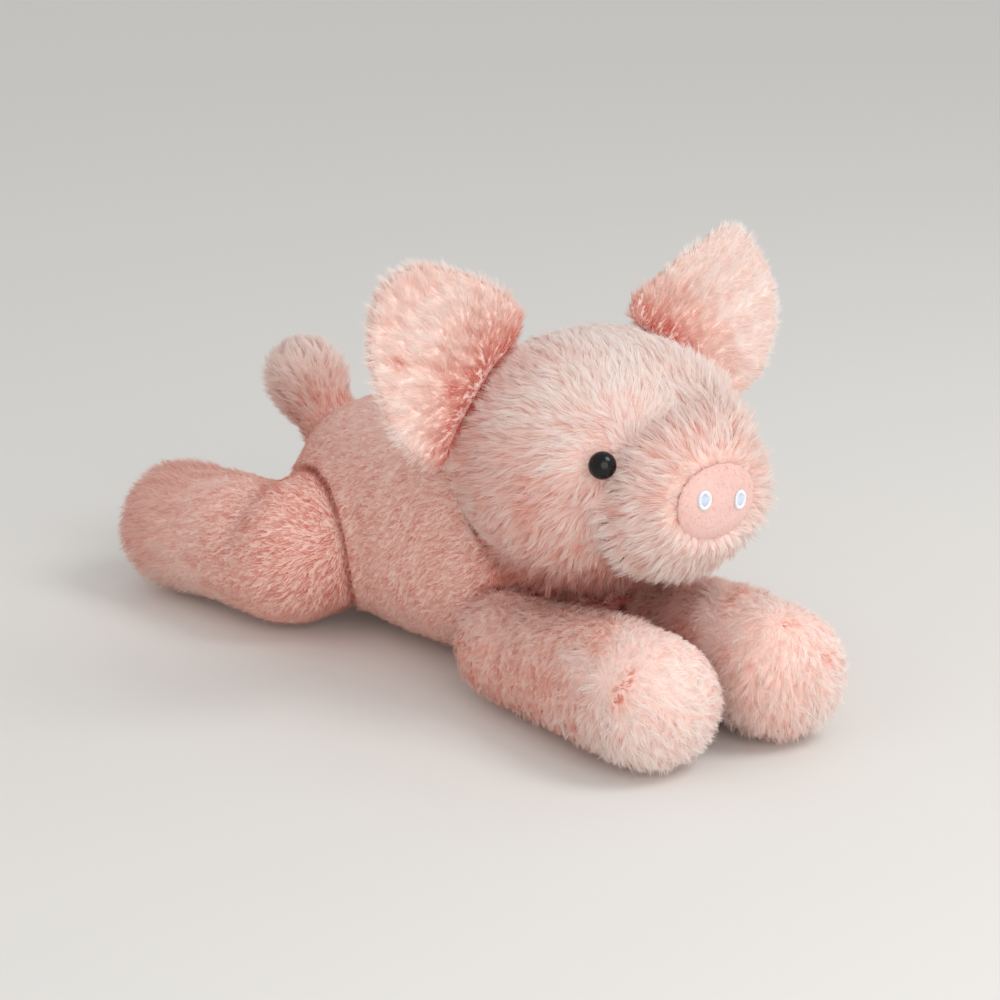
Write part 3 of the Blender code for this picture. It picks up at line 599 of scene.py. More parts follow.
    pattern, starts = [], []
    for k in range(steps - 1):
        starts.append(len(pattern))
        pattern += [2 * k, 2 * k + 1, 2 * k + 3, 2 * k + 2]
    starts.append(len(pattern))
    last = 2 * steps - 2
    pattern += [last, last + 1, last + 2]
    pattern, starts = np.array(pattern), np.array(starts)
    for part, mine in (parts(p, at) if parts else {"": np.ones(count, bool)}).items():
        ribbons(name + part, verts[mine], soft[mine], uv[mine], pattern, starts, material, body)


def ribbons(name, verts, soft, uv, pattern, starts, material, body):
    """One mesh of strands, each with the same pattern of corners."""
    count, per = verts.shape[:2]
    loops = (pattern[None] + per * np.arange(count)[:, None]).ravel()
    begin = (starts[None] + len(pattern) * np.arange(count)[:, None]).ravel()
    me = bpy.data.meshes.new(name)
    me.vertices.add(count * per)
    me.vertices.foreach_set("co", verts.astype(np.float32).ravel())
    me.loops.add(len(loops))
    me.loops.foreach_set("vertex_index", loops.astype(np.int32))
    me.polygons.add(len(begin))
    me.polygons.foreach_set("loop_start", begin.astype(np.int32))
    me.update(calc_edges=True)
    layer = me.uv_layers.new(name="OFBake")
    layer.data.foreach_set("uv", uv.reshape(-1, 2)[loops].astype(np.float32).ravel())
    me.polygons.foreach_set("use_smooth", np.ones(len(begin), bool))
    me.normals_split_custom_set_from_vertices(soft.reshape(-1, 3))
    me.materials.append(material)
    ob = bpy.data.objects.new(name, me)
    bpy.context.scene.collection.objects.link(ob)
    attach(ob, body)


# ------------ skins

PLUSH_DEEP, PLUSH_MID = srgb(242, 192, 178), srgb(252, 218, 207)
plush_backing = backing_material("plush_backing", PLUSH_DEEP, PLUSH_MID)
ear_backing = backing_material("ear_backing", srgb(248, 214, 203), srgb(254, 234, 226))

EYES = {s: np.array((d * 0.0313, -0.0985, 0.1053)) for s, d in SIDES.items()}
NOSE = np.array((0.0, -0.1275, 0.0913))

# Fold between thigh and foot: a place on it, the way across it, and its size
FOLD_TOP = (0.050, 0.086, 0.058)
FOLD_ACROSS = (0.295, 1.0, 0.0)
FOLD_WIDTH, FOLD_DEPTH = 0.0115, 0.0040
FOLD_HEIGHTS = (0.022, 0.052)


def knee_fold(side):
    mirror = np.array((SIDES[side], 1.0, 1.0))
    top, across = mirror * FOLD_TOP, unit(mirror * FOLD_ACROSS)

    def shape(v, n):
        fold = np.exp(-((((v - top) @ across) / FOLD_WIDTH) ** 2)) * near_smooth(v[:, 2], *FOLD_HEIGHTS)
        return v - n * (FOLD_DEPTH * fold)[:, None]

    return shape


EAR_MIDDLE = (0.062, 0.135)


def ear_polar(p, side):
    """Angle and reach of places on an ear about its middle, with 0 level and pointing outwards."""
    across, rise = p[:, 0] * SIDES[side] - EAR_MIDDLE[0], p[:, 2] - EAR_MIDDLE[1]
    return np.arctan2(rise, across), np.hypot(across, rise)


# Where each ear's outline is fuller or flatter: angle and width in degrees, push
EAR_OUTLINE = {
    "right": (
        (60.0, 28.0, 6.8 * MM), (104.0, 18.0, 1.2 * MM), (-4.0, 26.0, -4.0 * MM),
        (150.0, 30.0, 3.5 * MM), (-90.0, 20.0, -1.5 * MM),
    ),
    "left": ((96.0, 24.0, -3.5 * MM), (5.0, 40.0, 1.8 * MM), (-52.0, 20.0, 3.0 * MM)),
}
EAR_CORE, EAR_RIM = 0.010, 0.032
EAR_PEAK = {"right": math.radians(58), "left": math.radians(40)}


def ear_shape(side):
    def shape(v, n):
        angle, reach = ear_polar(v, side)
        push = np.zeros(len(v))
        for middle, width, amount in EAR_OUTLINE[side]:
            turn = (np.degrees(angle) - middle + 180) % 360 - 180
            push += amount * np.exp(-((turn / width) ** 2))
        push *= near_smooth(reach, EAR_CORE, EAR_RIM)
        out = np.stack([np.cos(angle) * SIDES[side], np.zeros(len(v)), np.sin(angle)], 1)
        return v + out * push[:, None]

    return shape


SEAMS = {
    "torso": ["head_plush", "tail_plush"]
    + [f"{leg}_leg_{side}_plush" for leg in ("front", "hind") for side in SIDES],
    "head": ["torso_plush", "ear_left_back", "ear_right_back"],
    "muzzle": ["nose_pad"],
    "tail": ["torso_plush"],
}
skins = {
    "torso": skin_of(("torso_plush", "torso_filling"), 2.2 * MM, SEAMS["torso"], stuff=True),
    "head": skin_of(("head_plush", "head_filling"), 3.2 * MM, SEAMS["head"]),
    "muzzle": skin_of(("muzzle_plush", "muzzle_filling"), 3.2 * MM, SEAMS["muzzle"]),
    "tail": skin_of(
        ("tail_plush", "tail_filling"), 1.8 * MM, SEAMS["tail"], voxel=1.6 * MM, stuff=True
    ),
}
for side in SIDES:
    skins[f"ear_{side}"] = skin_of(
        (f"ear_{side}_inner", f"ear_{side}_back"),
        0.3 * MM,
        ["head_plush"],
        1.3 * MM,
        rounds=3,
        last_rounds=2,
        shape=ear_shape(side),
    )
    for leg in ("front_leg", "hind_leg"):
        skins[f"{leg}_{side}"] = skin_of(
            (f"{leg}_{side}_plush", f"{leg}_{side}_filling"),
            2.4 * MM,
            ["torso_plush"],
            shape=knee_fold(side) if leg == "hind_leg" else None,
            stuff=True,
        )

# Crease between cheek and muzzle, on the left side
CREASE_LINE = np.array((
    (0.0335, -0.1050, 0.0985), (0.0328, -0.1086, 0.0941),
    (0.0310, -0.1121, 0.0799), (0.0193, -0.1124, 0.0645),
))
CREASE_WIDTH, CREASE_DEPTH = 0.0030, 0.0010
BEHIND_CREASE = np.array((0.5, 0.8, -0.2))
CHEEK_PLACE, CHEEK_WIDTH, CHEEK_SWELL = 0.0065, 0.0045, 0.0020
CHEEK_REACH = (-0.014, -0.006)

# Full brow over the far eye
BRIDGE = np.array((0.022, -0.106, 0.114))
BRIDGE_SIZE = np.array((0.012, 0.012, 0.009))
BRIDGE_RISE = 0.0060

# Where the muzzle's surface lies outside the head's by this much, the pile is the snout's
SNOUT_BLEND = (-0.0015, 0.0025)


def crease_place(p):
    """1 on the crease, how far behind it a place is, and how far from it."""
    mirrored = np.column_stack((np.abs(p[:, 0]), p[:, 1:]))
    best, behind = np.full(len(p), 1.0), np.zeros(len(p))
    for a, b in zip(CREASE_LINE, CREASE_LINE[1:]):
        t = np.clip((mirrored - a) @ (b - a) / ((b - a) @ (b - a)), 0, 1)[:, None]
        gap = mirrored - a - t * (b - a)
        far = np.linalg.norm(gap, axis=1)
        nearer = far < best
        best[nearer] = far[nearer]
        behind[nearer] = (gap @ unit(BEHIND_CREASE))[nearer]
    return np.exp(-((best / CREASE_WIDTH) ** 2)), behind, best


def face_shape(v, n):
    """Cheeks that swell up to the crease, and the brow over the far eye."""
    crease, behind, far = crease_place(v)
    swell = np.exp(-(((behind - CHEEK_PLACE) / CHEEK_WIDTH) ** 2)) * near_smooth(-far, *CHEEK_REACH)
    bridge = np.exp(-((np.linalg.norm((v - BRIDGE) / BRIDGE_SIZE, axis=1)) ** 2))
    return v + n * (CHEEK_SWELL * swell - CREASE_DEPTH * crease + BRIDGE_RISE * bridge)[:, None]


# The face's pile grows on head and muzzle together
face = skin_of(
    ("head_plush", "head_filling", "muzzle_plush", "muzzle_filling"),
    2.4 * MM,
    ["torso_plush", "ear_left_back", "ear_right_back", "nose_pad"],
    shape=face_shape,
    stuff=True,
)
SNOUT = near_smooth(skins["head"].clearance(face.v) - skins["muzzle"].clearance(face.v), *SNOUT_BLEND)
CREASE, _, CREASE_FAR = crease_place(face.v)

BODY_OF = {"muzzle": "head"}
for name, skin in skins.items():
    backing = ear_backing if name.startswith("ear") else plush_backing
    ob = mesh_object(f"{name}_skin", skin.v, skin.faces, backing)
    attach(ob, BODY_OF.get(name, name))
    if name.startswith("ear"):
        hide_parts(f"{name}_inner", f"{name}_back")
    else:
        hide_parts(f"{name}_plush", f"{name}_filling")


# ------------ combing

# Fibre colours from deep coral (0), which the painted shade in creases and under the chin takes, to pale
# fur (1)
ROOTS = [
    (0.0, srgb(214, 104, 88)),
    (0.2, srgb(234, 152, 135)),
    (0.4, srgb(243, 192, 178)),
    (0.6, srgb(249, 218, 208)),
    (1.0, srgb(254, 244, 239)),
]
TIPS = [
    (0.0, srgb(232, 142, 126)),
    (0.2, srgb(238, 174, 158)),
    (0.4, srgb(246, 206, 194)),
    (0.6, srgb(252, 231, 223)),
    (1.0, srgb(255, 251, 248)),
]
# painted shade: the torso and hind legs take a darkened copy of the fibre colours, for lying farther from
# the lamps
BODY_SHADE_SHARE = 0.955
plush_pile = pile_material("plush_pile", ROOTS, TIPS)


def shaded_copy(stops, share):
    """The same colours, darkened by this share: painted shade."""
    return [(place, (*(c * share for c in colour[:3]), 1.0)) for place, colour in stops]


# darkened copy of the fibre colours: painted shade for the torso and hind legs
shaded_body_pile = pile_material("shaded_body_pile", shaded_copy(ROOTS, BODY_SHADE_SHARE), shaded_copy(TIPS, BODY_SHADE_SHARE))


def spot(p, centre, size):
    """1 at a place in the fur, fading to 0 at about twice the size away."""
    return np.exp(-((np.linalg.norm(p - np.array(centre), axis=1) / size) ** 2))


def parting(p, ends, size):
    """1 on the line between the ends, fading to 0 beside it."""
    a, b = (np.array(end) for end in ends)
    t = np.clip((p - a) @ (b - a) / ((b - a) @ (b - a)), 0, 1)[:, None]
    return np.exp(-((np.linalg.norm(p - a - t * (b - a), axis=1) / size) ** 2))


def comb_torso(p, n, at):
    """Backwards over the back, down the flanks, and forwards under the chin."""
    flank = np.abs(n[:, 0:1])
    flow = np.array((0.0, 1.0, -0.1)) * (1 - flank) + np.array((0.0, 0.7, -0.7)) * flank
    chest = near_smooth(-p[:, 1], 0.028, 0.05) * near_smooth(-p[:, 2], -0.075, -0.055)
    flow = flow * (1 - chest)[:, None] + np.array((0.0, -1.0, 0.1)) * chest[:, None]
    shade = 0.41 + 0.2 * near_smooth(p[:, 2], 0.06, 0.10) + 0.12 * near_smooth(-p[:, 2], -0.03, -0.005)
    return {
        "flow": flow,
        "length": (4.2 + 5.8 * chest) * MM,
        "lift": 22.0 + 32.0 * chest,
        # painted shade: deeper coral on the chest under the chin
        "shade": shade - 0.24 * chest,
        "drift": 0.25,
        "tuft_turn": 0.16,
        "tuft_shade": 0.05,
    }


EYE_CLEAR = (0.0055, 0.0125)  # short fur up to here, full length from there
EYE_LINE = (0.022, -0.104, 0.110)  # the head's fur flows away from here, on each side
BY_RIGHT_EYE = (-0.044, -0.092, 0.108)


def comb_face(p, n, at):
    """Radial from the snout on the muzzle, from the eyes on the head, one growing into the other."""
    snout = at(SNOUT)
    near_eye = np.minimum(*(np.linalg.norm(p - EYES[s], axis=1) for s in SIDES))
    side = np.tanh(p[:, 0] / 0.010)
    centre = np.stack([EYE_LINE[0] * side, np.full(len(p), EYE_LINE[1]), np.full(len(p), EYE_LINE[2])], 1)
    flow = unit(p - centre) * (1 - snout)[:, None] + unit(p - NOSE) * snout[:, None]
    around_nose = near_smooth(np.linalg.norm(p - NOSE, axis=1), 0.016, 0.028)
    by_eye = near_smooth(near_eye, *EYE_CLEAR)
    on_snout = 8.8 * (0.35 + 0.65 * by_eye) * (0.7 + 0.3 * around_nose)
    length = 8.0 * (0.3 + 0.7 * by_eye) * (1 - snout) + on_snout * snout
    far_side = near_smooth(p[:, 0], 0.006, 0.03) * near_smooth(-p[:, 1], 0.07, 0.095)
    far_side = far_side * near_smooth(p[:, 2], 0.06, 0.085)
    chin = near_smooth(-p[:, 2], -0.066, -0.054) * (1 - snout)
    under = near_smooth(-n[:, 2], 0.1, 0.7)
    mottle = 0.05 * wander(p, np.random.default_rng(5), 0.03)
    # painted light: paler towards the crown, where the lamps fall from above
    shade = 0.66 + 0.34 * near_smooth(p[:, 2], 0.090, 0.130) + mottle
    shade = shade * (1 - snout) + (0.80 + 0.16 * near_smooth(-p[:, 2], -0.10, -0.07)) * snout
    shade = shade + 0.2 * spot(p, BY_RIGHT_EYE, 0.010)
    crease = at(CREASE)
    edge = near_smooth(snout, 0.3, 0.7)
    length = length * (1 - edge) + np.minimum(length, 4.8 + 900.0 * at(CREASE_FAR)) * edge
    return {
        "flow": flow,
        "length": (length + 5.0 * chin + 4.2 * far_side * by_eye) * MM,
        "lift": 21.0 + 22.0 * chin + 30.0 * far_side * by_eye,
        # painted shade: darker on the head's underside, under the chin and in the crease between cheek and
        # muzzle
        "shade": shade - 0.06 * under * (1 - snout) - 0.28 * chin - 0.36 * crease,
        "seam_shade": 0.3,
        "seam_length": 0.9,
        "lock": 0.16,
        "tuft_turn": 0.2,
        "hugging": True,
    }


EAR_BASE = (0.030, -0.050, 0.108)
EAR_SPOTS = ((-0.0571, -0.0501, 0.1257), (-0.0808, -0.0509, 0.1384))
EAR_SPOT_SIZE = 0.0034
# painted shade: the right ear's fur is set darker than the left's
RIGHT_EAR_PAINTED_SHADE = 0.08


def comb_ear(side):
    """Outwards from the base, deep coral there as painted shade of its crease with the head, and pale
    towards the rim.
    """
    base = np.array((SIDES[side], 1.0, 1.0)) * EAR_BASE

    def comb(p, n, at):
        flow = p - base
        far = np.linalg.norm(flow, axis=1)
        front = near_smooth(-n[:, 1], -0.2, 0.3)
        angle, reach = ear_polar(p, side)
        peak = near_smooth(-np.abs(angle - EAR_PEAK[side]), -0.7, -0.2) * near_smooth(reach, 0.022, 0.034)
        length = (4.2 + 2.4 * front) * (0.6 + 0.4 * near_smooth(far, 0.012, 0.03)) * (1 + 0.1 * peak)
        # painted shade: deep coral at the base, in the crease where the ear meets the head
        shade = 0.12 + 0.46 * near_smooth(far, 0.018, 0.032) + 0.30 * near_smooth(far, 0.030, 0.054)
        # painted shade on the right ear
        shade = shade - RIGHT_EAR_PAINTED_SHADE * (side == "right")
        for centre in EAR_SPOTS:
            shade = shade - 0.4 * spot(p, centre, EAR_SPOT_SIZE)
        return {
            "flow": flow,
            "length": length * MM,
            "lift": 24.0 - 11.0 * front,
            "shade": shade,
            "seam_shade": 0.45,
            "tuft_turn": 0.14,
            "stray": 0.08,
            "lock": 0.18,
            "tuft_shade": 0.05,
        }

    return comb


TAIL_ROOT = np.array((0.0, 0.104, 0.064))


def comb_tail(p, n, at):
    """Outwards from the root, longer and paler on the puff."""
    flow = p - TAIL_ROOT
    far = np.linalg.norm(flow, axis=1)
    return {
        "flow": flow,
        "length": (4.8 + 3.8 * near_smooth(far, 0.008, 0.022)) * MM,
        "lift": 38.0,
        "shade": 0.62 + 0.24 * near_smooth(far, 0.012, 0.034),
        "tuft_turn": 0.3,
    }


def comb_hind(side):
    """Backwards along thigh and foot, longer round the foot's end."""

    def comb(p, n, at):
        flow = np.tile(np.array((SIDES[side] * 0.2, 1.0, -0.35)), (len(p), 1))
        # darker than the face and front legs: partly the leg's salmon colour, partly painted shade of the
        # broad shadow over the thigh
        shade = 0.35 + 0.12 * near_smooth(-p[:, 2], -0.03, -0.008) + 0.18 * near_smooth(p[:, 1], 0.07, 0.11)
        # painted shade: darker at the front of the leg, by the crease with the torso
        shade = shade - 0.1 * near_smooth(-p[:, 1], -0.072, -0.045)
        foot = near_smooth(p[:, 1], 0.100, 0.135)
        return {
            "flow": flow,
            "length": (4.4 + 2.6 * foot) * MM,
            "lift": 22.0 + 16.0 * foot,
            "shade": shade,
            "tuft_turn": 0.16,
            "tuft_shade": 0.05,
        }

    return comb


PAW_START = {"right": (0.098, 0.134), "left": (0.100, 0.126)}
PAW_SWIRL = {"right": np.array((-0.050, -0.128, 0.036)), "left": np.array((0.016, -0.140, 0.046))}
PAW_PARTING = {
    "right": ((-0.0534, -0.1370, 0.0420), (-0.0578, -0.1356, 0.0340)),
    "left": ((0.015, -0.1447, 0.0496), (0.0278, -0.1575, 0.0351)),
}
PARTING_WIDTH = {"right": 0.0028, "left": 0.0023}
FUR_LEVEL = 0.003  # height of the fur over its skin on the paws


def comb_front(side):
    """Crumpled fur down the leg, and a swirl with a parting on the pale paw."""

    def comb(p, n, at):
        ragged = 0.008 * wander(p, np.random.default_rng(9), 0.014)
        tips = p + FUR_LEVEL * n
        paw = near_smooth(ragged - p[:, 1], *PAW_START[side])
        shank = np.tile(np.array((0.0, -0.3, -1.0)), (len(p), 1))
        flow = shank * (1 - paw)[:, None] + unit(p - PAW_SWIRL[side]) * paw[:, None]
        below = paw * near_smooth(-p[:, 2], -0.044, -0.024)
        top = near_smooth(n[:, 2], 0.3, 0.7) * near_smooth(p[:, 1], -0.125, -0.105)
        between = near_smooth(-np.abs(p[:, 0]), -0.028, -0.010) * near_smooth(-p[:, 2], -0.066, -0.03)
        part = parting(tips, PAW_PARTING[side], PARTING_WIDTH[side])
        return {
            "flow": flow,
            "length": (4.8 + 3.2 * below + 1.6 * top) * (1 - 0.4 * part) * MM,
            "lift": 36.0 - 14.0 * paw,
            # painted light: paler on the top of the leg under the chin, against the chin's shadow; painted
            # shade: darker between the legs
            "shade": 0.52 + 0.42 * paw + 0.2 * top * (1 - paw) - 0.2 * between - 0.8 * part,
            "curl": 0.5 * (1 - paw),
            "seam_length": 0.9,
            "tuft_turn": 0.55,
            "tuft_shade": 0.1,
            "drift": 0.45 - 0.15 * paw,
        }

    return comb


def less_below(p):
    """Fewer strands where the toy rests on the ground."""
    return 0.35 + 0.65 * near_smooth(p[:, 2], 0.004, 0.012)


def left_right(p, at):
    return {"_left": p[:, 0] > 0, "_right": p[:, 0] <= 0}


def face_parts(p, at):
    snout = at(SNOUT) > 0.5
    left = p[:, 0] > 0
    return {"muzzle_pile": snout, "head_pile_left": ~snout & left, "head_pile_right": ~snout & ~left}


legs = [k for k in skins if "leg" in k]
pile("torso_pile", skins["torso"], "torso", shaded_body_pile, 84000, comb_torso, 11,
     [skins[k] for k in ("head", "tail", *legs)], tuft=1.5 * MM, weight=less_below, width=0.27 * MM,
     clump=0.45, steps=2, parts=left_right)
pile("", face, "head", plush_pile, 86000, comb_face, 12,
     [skins[k] for k in ("torso", "ear_left", "ear_right")], tuft=1.9 * MM, width=0.27 * MM, clump=0.56,
     parts=face_parts)
pile("tail_pile", skins["tail"], "tail", plush_pile, 15000, comb_tail, 14,
     [skins["torso"]], tuft=1.9 * MM, width=0.27 * MM, clump=0.45)
for i, side in enumerate(SIDES):
    name = f"ear_{side}"
    pile(f"{name}_pile", skins[name], name, plush_pile, 30000, comb_ear(side), 20 + i,
         [skins["head"]], tuft=1.8 * MM, width=0.25 * MM, clump=0.28)
    name = f"hind_leg_{side}"
    pile(f"{name}_pile", skins[name], name, shaded_body_pile, 36000, comb_hind(side), 30 + i,
         [skins["torso"]], tuft=1.7 * MM, weight=less_below, width=0.27 * MM, clump=0.4, steps=2)
    name = f"front_leg_{side}"
    pile(f"{name}_pile", skins[name], name, plush_pile, 38000, comb_front(side), 40 + i,
         [skins["torso"], skins["head"]], tuft=1.7 * MM, weight=less_below, width=0.27 * MM, clump=0.55)


# ------------ nose

NOSE_ROOTS = [(0.0, srgb(208, 146, 140)), (1.0, srgb(247, 222, 216))]
NOSE_TIPS = [(0.0, srgb(232, 184, 177)), (1.0, srgb(252, 242, 237))]
nose_backing = backing_material("nose_backing", srgb(226, 172, 162), srgb(244, 206, 197), scale=1600.0)
nose_pile = pile_material("nose_pile", NOSE_ROOTS, NOSE_TIPS, through=0.2)
nose = skin_of(("nose_pad",), 0.25 * MM, voxel=0.8 * MM, rounds=6)
nose_cushion = mesh_object("nose_cushion", nose.v, nose.faces, nose_backing)
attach(nose_cushion, "head")
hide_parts("nose_pad")


NOSE_HALF_WIDTH, NOSE_HALF_HEIGHT = 0.019, 0.01425
NOSE_FRONT = (0.1228, 0.1245)


def comb_nose(p, n, at):
    rim = near_smooth(np.hypot(p[:, 0] / NOSE_HALF_WIDTH, (p[:, 2] - NOSE[2]) / NOSE_HALF_HEIGHT), 0.6, 1.0)
    return {
        "flow": np.tile(np.array((0.3, 0.0, -1.0)), (len(p), 1)),
        "length": 1.0 * MM,
        "lift": 52.0,
        # painted shade: darker on the nose's right side, away from the key lamp
        "shade": 0.68 - 0.34 * rim - 0.1 * near_smooth(-p[:, 0], 0.006, 0.017),
        "drift": 1.2,
        "stray": 0.6,
        "tuft_turn": 0.5,
    }


def nose_front(p):
    """The short pile covers the nose's front and leaves out its side."""
    return near_smooth(-p[:, 1], *NOSE_FRONT)


pile("nose_pile", nose, "head", nose_pile, 15000, comb_nose, 50, (), tuft=0.9 * MM,
     weight=nose_front, width=0.22 * MM, clump=0.5, steps=2)


# ------------ nostrils

def thread_material(name, pale, deep):
    """Twisted embroidery thread: fine plies and a silky shine."""
    m, nodes, links, out = new_material(name)
    place = nodes.new("ShaderNodeTexCoord").outputs["Object"]
    ply = nodes.new("ShaderNodeTexWave")
    ply.bands_direction = "DIAGONAL"
    ply.inputs["Scale"].default_value = 900.0
    ply.inputs["Distortion"].default_value = 3.0
    links.new(place, ply.inputs["Vector"])
    grain = noise(nodes, links, place, 1500.0)
    colour = mixed(nodes, links, ply.outputs["Fac"], deep, pale)
    colour = mixed(nodes, links, grain, colour, pale)
    p = principled(nodes, 0.38, sheen=0.3, specular=0.5)
    links.new(colour, p.inputs["Base Color"])
    links.new(bump(nodes, links, ply.outputs["Fac"], 0.35, 0.0001), p.inputs["Normal"])
    links.new(p.outputs["BSDF"], out.inputs["Surface"])
    return m


thread_white = thread_material("thread_white", srgb(246, 248, 251), srgb(214, 224, 238))
thread_blue = thread_material("thread_blue", srgb(222, 232, 246), srgb(184, 202, 226))


def stitch(a, b, rise, thick, arcs=6, sides=8):
    """One thread lying on the velour from a to b, arched by rise, as (verts, faces)."""
    a, b = np.array(a), np.array(b)
    t = np.linspace(0, 1, arcs + 1)
    lift = np.sin(math.pi * t)
    path = a + (b - a) * t[:, None]
    path[:, 1] -= rise * lift
    along = unit(b - a)
    side = unit(np.cross(along, (0.0, 1.0, 0.0)))
    verts, faces = [], []
    for i in range(arcs + 1):
        r = thick * (0.55 + 0.45 * lift[i])
        for k in range(sides):
            w = 2 * math.pi * k / sides
            verts.append(path[i] + side * (r * math.cos(w)) + np.array((0, r * math.sin(w), 0)))
    for i in range(arcs):
        for k in range(sides):
            j = (k + 1) % sides
            faces.append((i * sides + k, i * sides + j, (i + 1) * sides + j, (i + 1) * sides + k))
    faces.append(tuple(reversed(range(sides))))
    faces.append(tuple(arcs * sides + k for k in range(sides)))
    return verts, faces


RING_BAND = 1.5 * MM
RING_STITCHES = 40
RING_TURN = 0.10
FILL_ROWS = 8
FILL_LEAN = 0.12


def nose_level(x, z):
    """How far forward the nose's surface lies at this place."""
    hit = nose.tree.ray_cast(Vector((x, -0.2, z)), Vector((0, 1, 0)))
    return hit[0].y


def nostril(side):
    """A ring of white stitches round a fill of blue ones."""
    v, _ = arrays_of(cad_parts[f"nostril_{side}"])
    low, high = v.min(0), v.max(0)
    cx, cz = (low[0] + high[0]) / 2, (low[2] + high[2]) / 2
    wide, tall = (high[0] - low[0]) / 2, (high[2] - low[2]) / 2
    sets = {"ring": [], "fill": []}
    for k in range(RING_STITCHES):
        w = 2 * math.pi * k / RING_STITCHES
        ends = []
        for rx, rz, turn in ((wide - RING_BAND, tall - RING_BAND, 0.0), (wide, tall, RING_TURN)):
            x, z = cx + rx * math.cos(w + turn), cz + rz * math.sin(w + turn)
            ends.append((x, nose_level(x, z) - 0.0001, z))
        sets["ring"].append(stitch(*ends, rise=0.5 * MM, thick=0.27 * MM))
    inner_x, inner_z = wide - RING_BAND * 0.8, tall - RING_BAND * 0.8
    for k in range(FILL_ROWS):
        f = (k + 0.5) / FILL_ROWS * 2 - 1
        x = cx + f * inner_x
        reach = inner_z * math.sqrt(1 - f * f)
        lean = FILL_LEAN * reach
        a = (x - lean, nose_level(x - lean, cz - reach), cz - reach)
        b = (x + lean, nose_level(x + lean, cz + reach), cz + reach)
        sets["fill"].append(stitch(a, b, rise=0.22 * MM, thick=0.24 * MM))
    for part, material in (("ring", thread_white), ("fill", thread_blue)):
        verts, faces = [], []
        for vs, fs in sets[part]:
            faces += [tuple(i + len(verts) for i in f) for f in fs]
            verts += [tuple(q) for q in vs]
        ob = mesh_object(f"nostril_{side}_{part}", verts, faces, material)
        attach(ob, "head")
        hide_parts(f"nostril_{side}")


for side in SIDES:
    nostril(side)


# ------------ eyes

def eye_material():
    """Polished black safety eye: hairline wear in the gloss and a clear coat."""
    m, nodes, links, out = new_material("eye_gloss")
    place = nodes.new("ShaderNodeTexCoord").outputs["Object"]
    wear = noise(nodes, links, place, 700.0, 5.0, 0.7)
    rough = nodes.new("ShaderNodeMapRange")
    rough.inputs["To Min"].default_value = 0.10
    rough.inputs["To Max"].default_value = 0.26
    links.new(wear, rough.inputs["Value"])
    p = principled(nodes, 0.15, coat=0.08, specular=0.3)
    p.inputs["Coat Roughness"].default_value = 0.06
    links.new(rough.outputs["Result"], p.inputs["Roughness"])
    links.new(mixed(nodes, links, wear, srgb(6, 5, 5), srgb(16, 13, 13)), p.inputs["Base Color"])
    links.new(bump(nodes, links, wear, 0.05, 0.00004), p.inputs["Normal"])
    links.new(p.outputs["BSDF"], out.inputs["Surface"])
    return m


eye_gloss = eye_material()
EYE_ARCS, EYE_SIDES = 20, 64
EYE_BEVEL_IN, EYE_BEVEL_UP = 0.0003, 0.0002


def eye(side):
    """A domed cap with a bevelled rim on its stem, turned about the axis from washer to eye."""
    v, _ = arrays_of(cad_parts[f"eye_{side}"])
    w, _ = arrays_of(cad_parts[f"eye_washer_{side}"])
    base = w.mean(0)
    axis = unit(v.mean(0) - base)
    h = (v - base) @ axis
    r = np.linalg.norm(v - base - h[:, None] * axis, axis=1)
    wide, top = r.max(), h.max()
    rim = h[r > 0.97 * wide]
    low, high = rim.min(), rim.max()
    stem = r[h < h.min() + EYE_BEVEL_UP].max()
    sides = EYE_SIDES
    rings = [(stem, h.min()), (stem, low), (wide - EYE_BEVEL_IN, low), (wide, low + EYE_BEVEL_UP)]
    rings += [
        (wide * math.cos(a), high + (top - high) * math.sin(a))
        for a in np.linspace(0, math.pi / 2, EYE_ARCS + 1)[:-1]
    ]
    first = unit(np.cross(axis, (0.0, 0.0, 1.0)))
    second = np.cross(axis, first)
    verts, faces = [], []
    for radius, height in rings:
        for k in range(sides):
            a = 2 * math.pi * k / sides
            verts.append(base + axis * height + (first * math.cos(a) + second * math.sin(a)) * radius)
    for i in range(len(rings) - 1):
        for k in range(sides):
            j = (k + 1) % sides
            faces.append((i * sides + k, (i + 1) * sides + k, (i + 1) * sides + j, i * sides + j))
    verts += [base + axis * h.min(), base + axis * top]
    last = (len(rings) - 1) * sides
    for k in range(sides):
        j = (k + 1) % sides
        faces.append((k, j, len(verts) - 2))
        faces.append((last + j, last + k, len(verts) - 1))
    ob = mesh_object(f"eye_{side}_dome", verts, faces, eye_gloss)
    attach(ob, "head")
    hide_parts(f"eye_{side}")


for side in SIDES:
    eye(side)


# ------------ inside

washer_plastic = backing_material("washer_moulding", srgb(206, 206, 202), srgb(232, 232, 228), scale=500.0)
for side in SIDES:
    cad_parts[f"eye_washer_{side}"].data.materials.clear()
    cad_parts[f"eye_washer_{side}"].data.materials.append(washer_plastic)
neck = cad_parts["neck_plug"]
neck.data.materials.clear()
neck.data.materials.append(plush_backing)

pouch_cloth = backing_material("pouch_cloth", srgb(214, 208, 198), srgb(236, 232, 224), scale=1200.0)
pouch = skin_of(("pellet_bag",), 1.0 * MM, stuff=True)
pouch_piece = mesh_object("pellet_pouch", pouch.v, pouch.faces, pouch_cloth)
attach(pouch_piece, "torso")
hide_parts("pellet_bag")


# ------------ stage

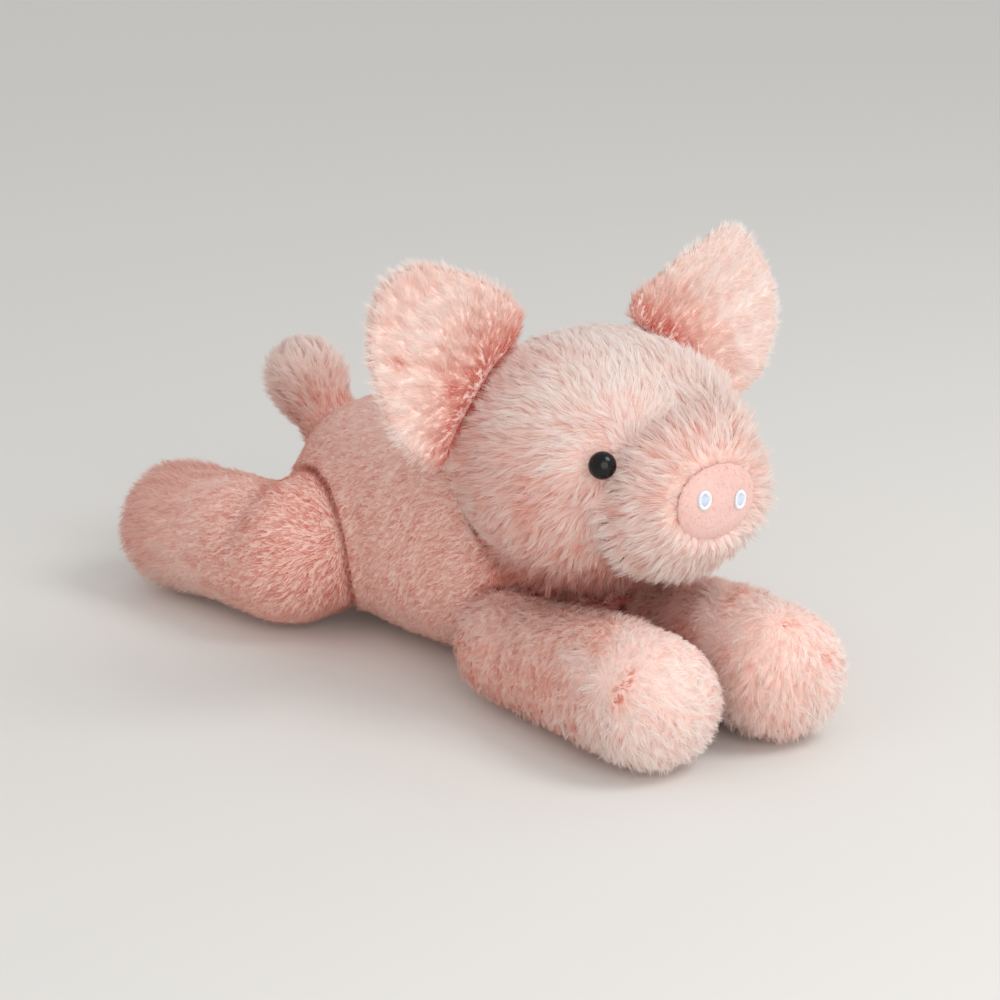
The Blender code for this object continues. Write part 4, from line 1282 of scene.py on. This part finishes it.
out = np.array(
    (
        -math.sin(CAMERA_AZIMUTH) * math.cos(CAMERA_ELEVATION),
        -math.cos(CAMERA_AZIMUTH) * math.cos(CAMERA_ELEVATION),
        math.sin(CAMERA_ELEVATION),
    )
)
target = Vector(CAMERA_TARGET)
camera_data = bpy.data.cameras.new("camera")
camera_data.lens = CAMERA_LENS
camera_data.sensor_width = CAMERA_SENSOR
camera_data.sensor_fit = "HORIZONTAL"
camera = bpy.data.objects.new("camera", camera_data)
camera.location = target + Vector(out) * CAMERA_DISTANCE
camera.rotation_euler = (target - camera.location).to_track_quat("-Z", "Y").to_euler()
bpy.context.scene.collection.objects.link(camera)
bpy.context.scene.camera = camera
bpy.context.scene.view_settings.view_transform = "Standard"


camera_right = np.array((math.cos(CAMERA_AZIMUTH), -math.sin(CAMERA_AZIMUTH), 0.0))


def lamp(name, right, near, up, size, power):
    place = camera_right * right + out * near + np.array((0, 0, up))
    data = bpy.data.lights.new(name, "AREA")
    data.shape = "DISK"
    data.size = size
    data.energy = power
    ob = bpy.data.objects.new(name, data)
    ob.location = target + Vector(place)
    ob.rotation_euler = (-Vector(place)).to_track_quat("-Z", "Y").to_euler()
    bpy.context.scene.collection.objects.link(ob)


lamp("key", *KEY_LAMP)
lamp("fill", *FILL_LAMP)

world = bpy.data.worlds.new("world")
bpy.context.scene.world = world
world.use_nodes = True
nodes, links = world.node_tree.nodes, world.node_tree.links
nodes.clear()
world_out = nodes.new("ShaderNodeOutputWorld")
light = nodes.new("ShaderNodeBackground")
light.inputs["Color"].default_value = (1.0, 1.0, 1.0, 1.0)
light.inputs["Strength"].default_value = SKY_STRENGTH
seen = nodes.new("ShaderNodeBackground")
seen.inputs["Color"].default_value = srgb(236, 234, 230)
path = nodes.new("ShaderNodeLightPath")
choose = nodes.new("ShaderNodeMixShader")
links.new(path.outputs["Is Camera Ray"], choose.inputs["Fac"])
links.new(light.outputs["Background"], choose.inputs[1])
links.new(seen.outputs["Background"], choose.inputs[2])
links.new(choose.outputs["Shader"], world_out.inputs["Surface"])

m, nodes, links, shader_out = new_material("stage_floor")
p = principled(nodes, 0.9, specular=0.1)
p.inputs["Base Color"].default_value = srgb(232, 230, 226)
links.new(p.outputs["BSDF"], shader_out.inputs["Surface"])
corners = [(x * FLOOR_REACH, y * FLOOR_REACH, 0) for x, y in ((-1, -1), (1, -1), (1, 1), (-1, 1))]
floor = mesh_object("floor", corners, [(0, 1, 2, 3)], m, smooth=False)
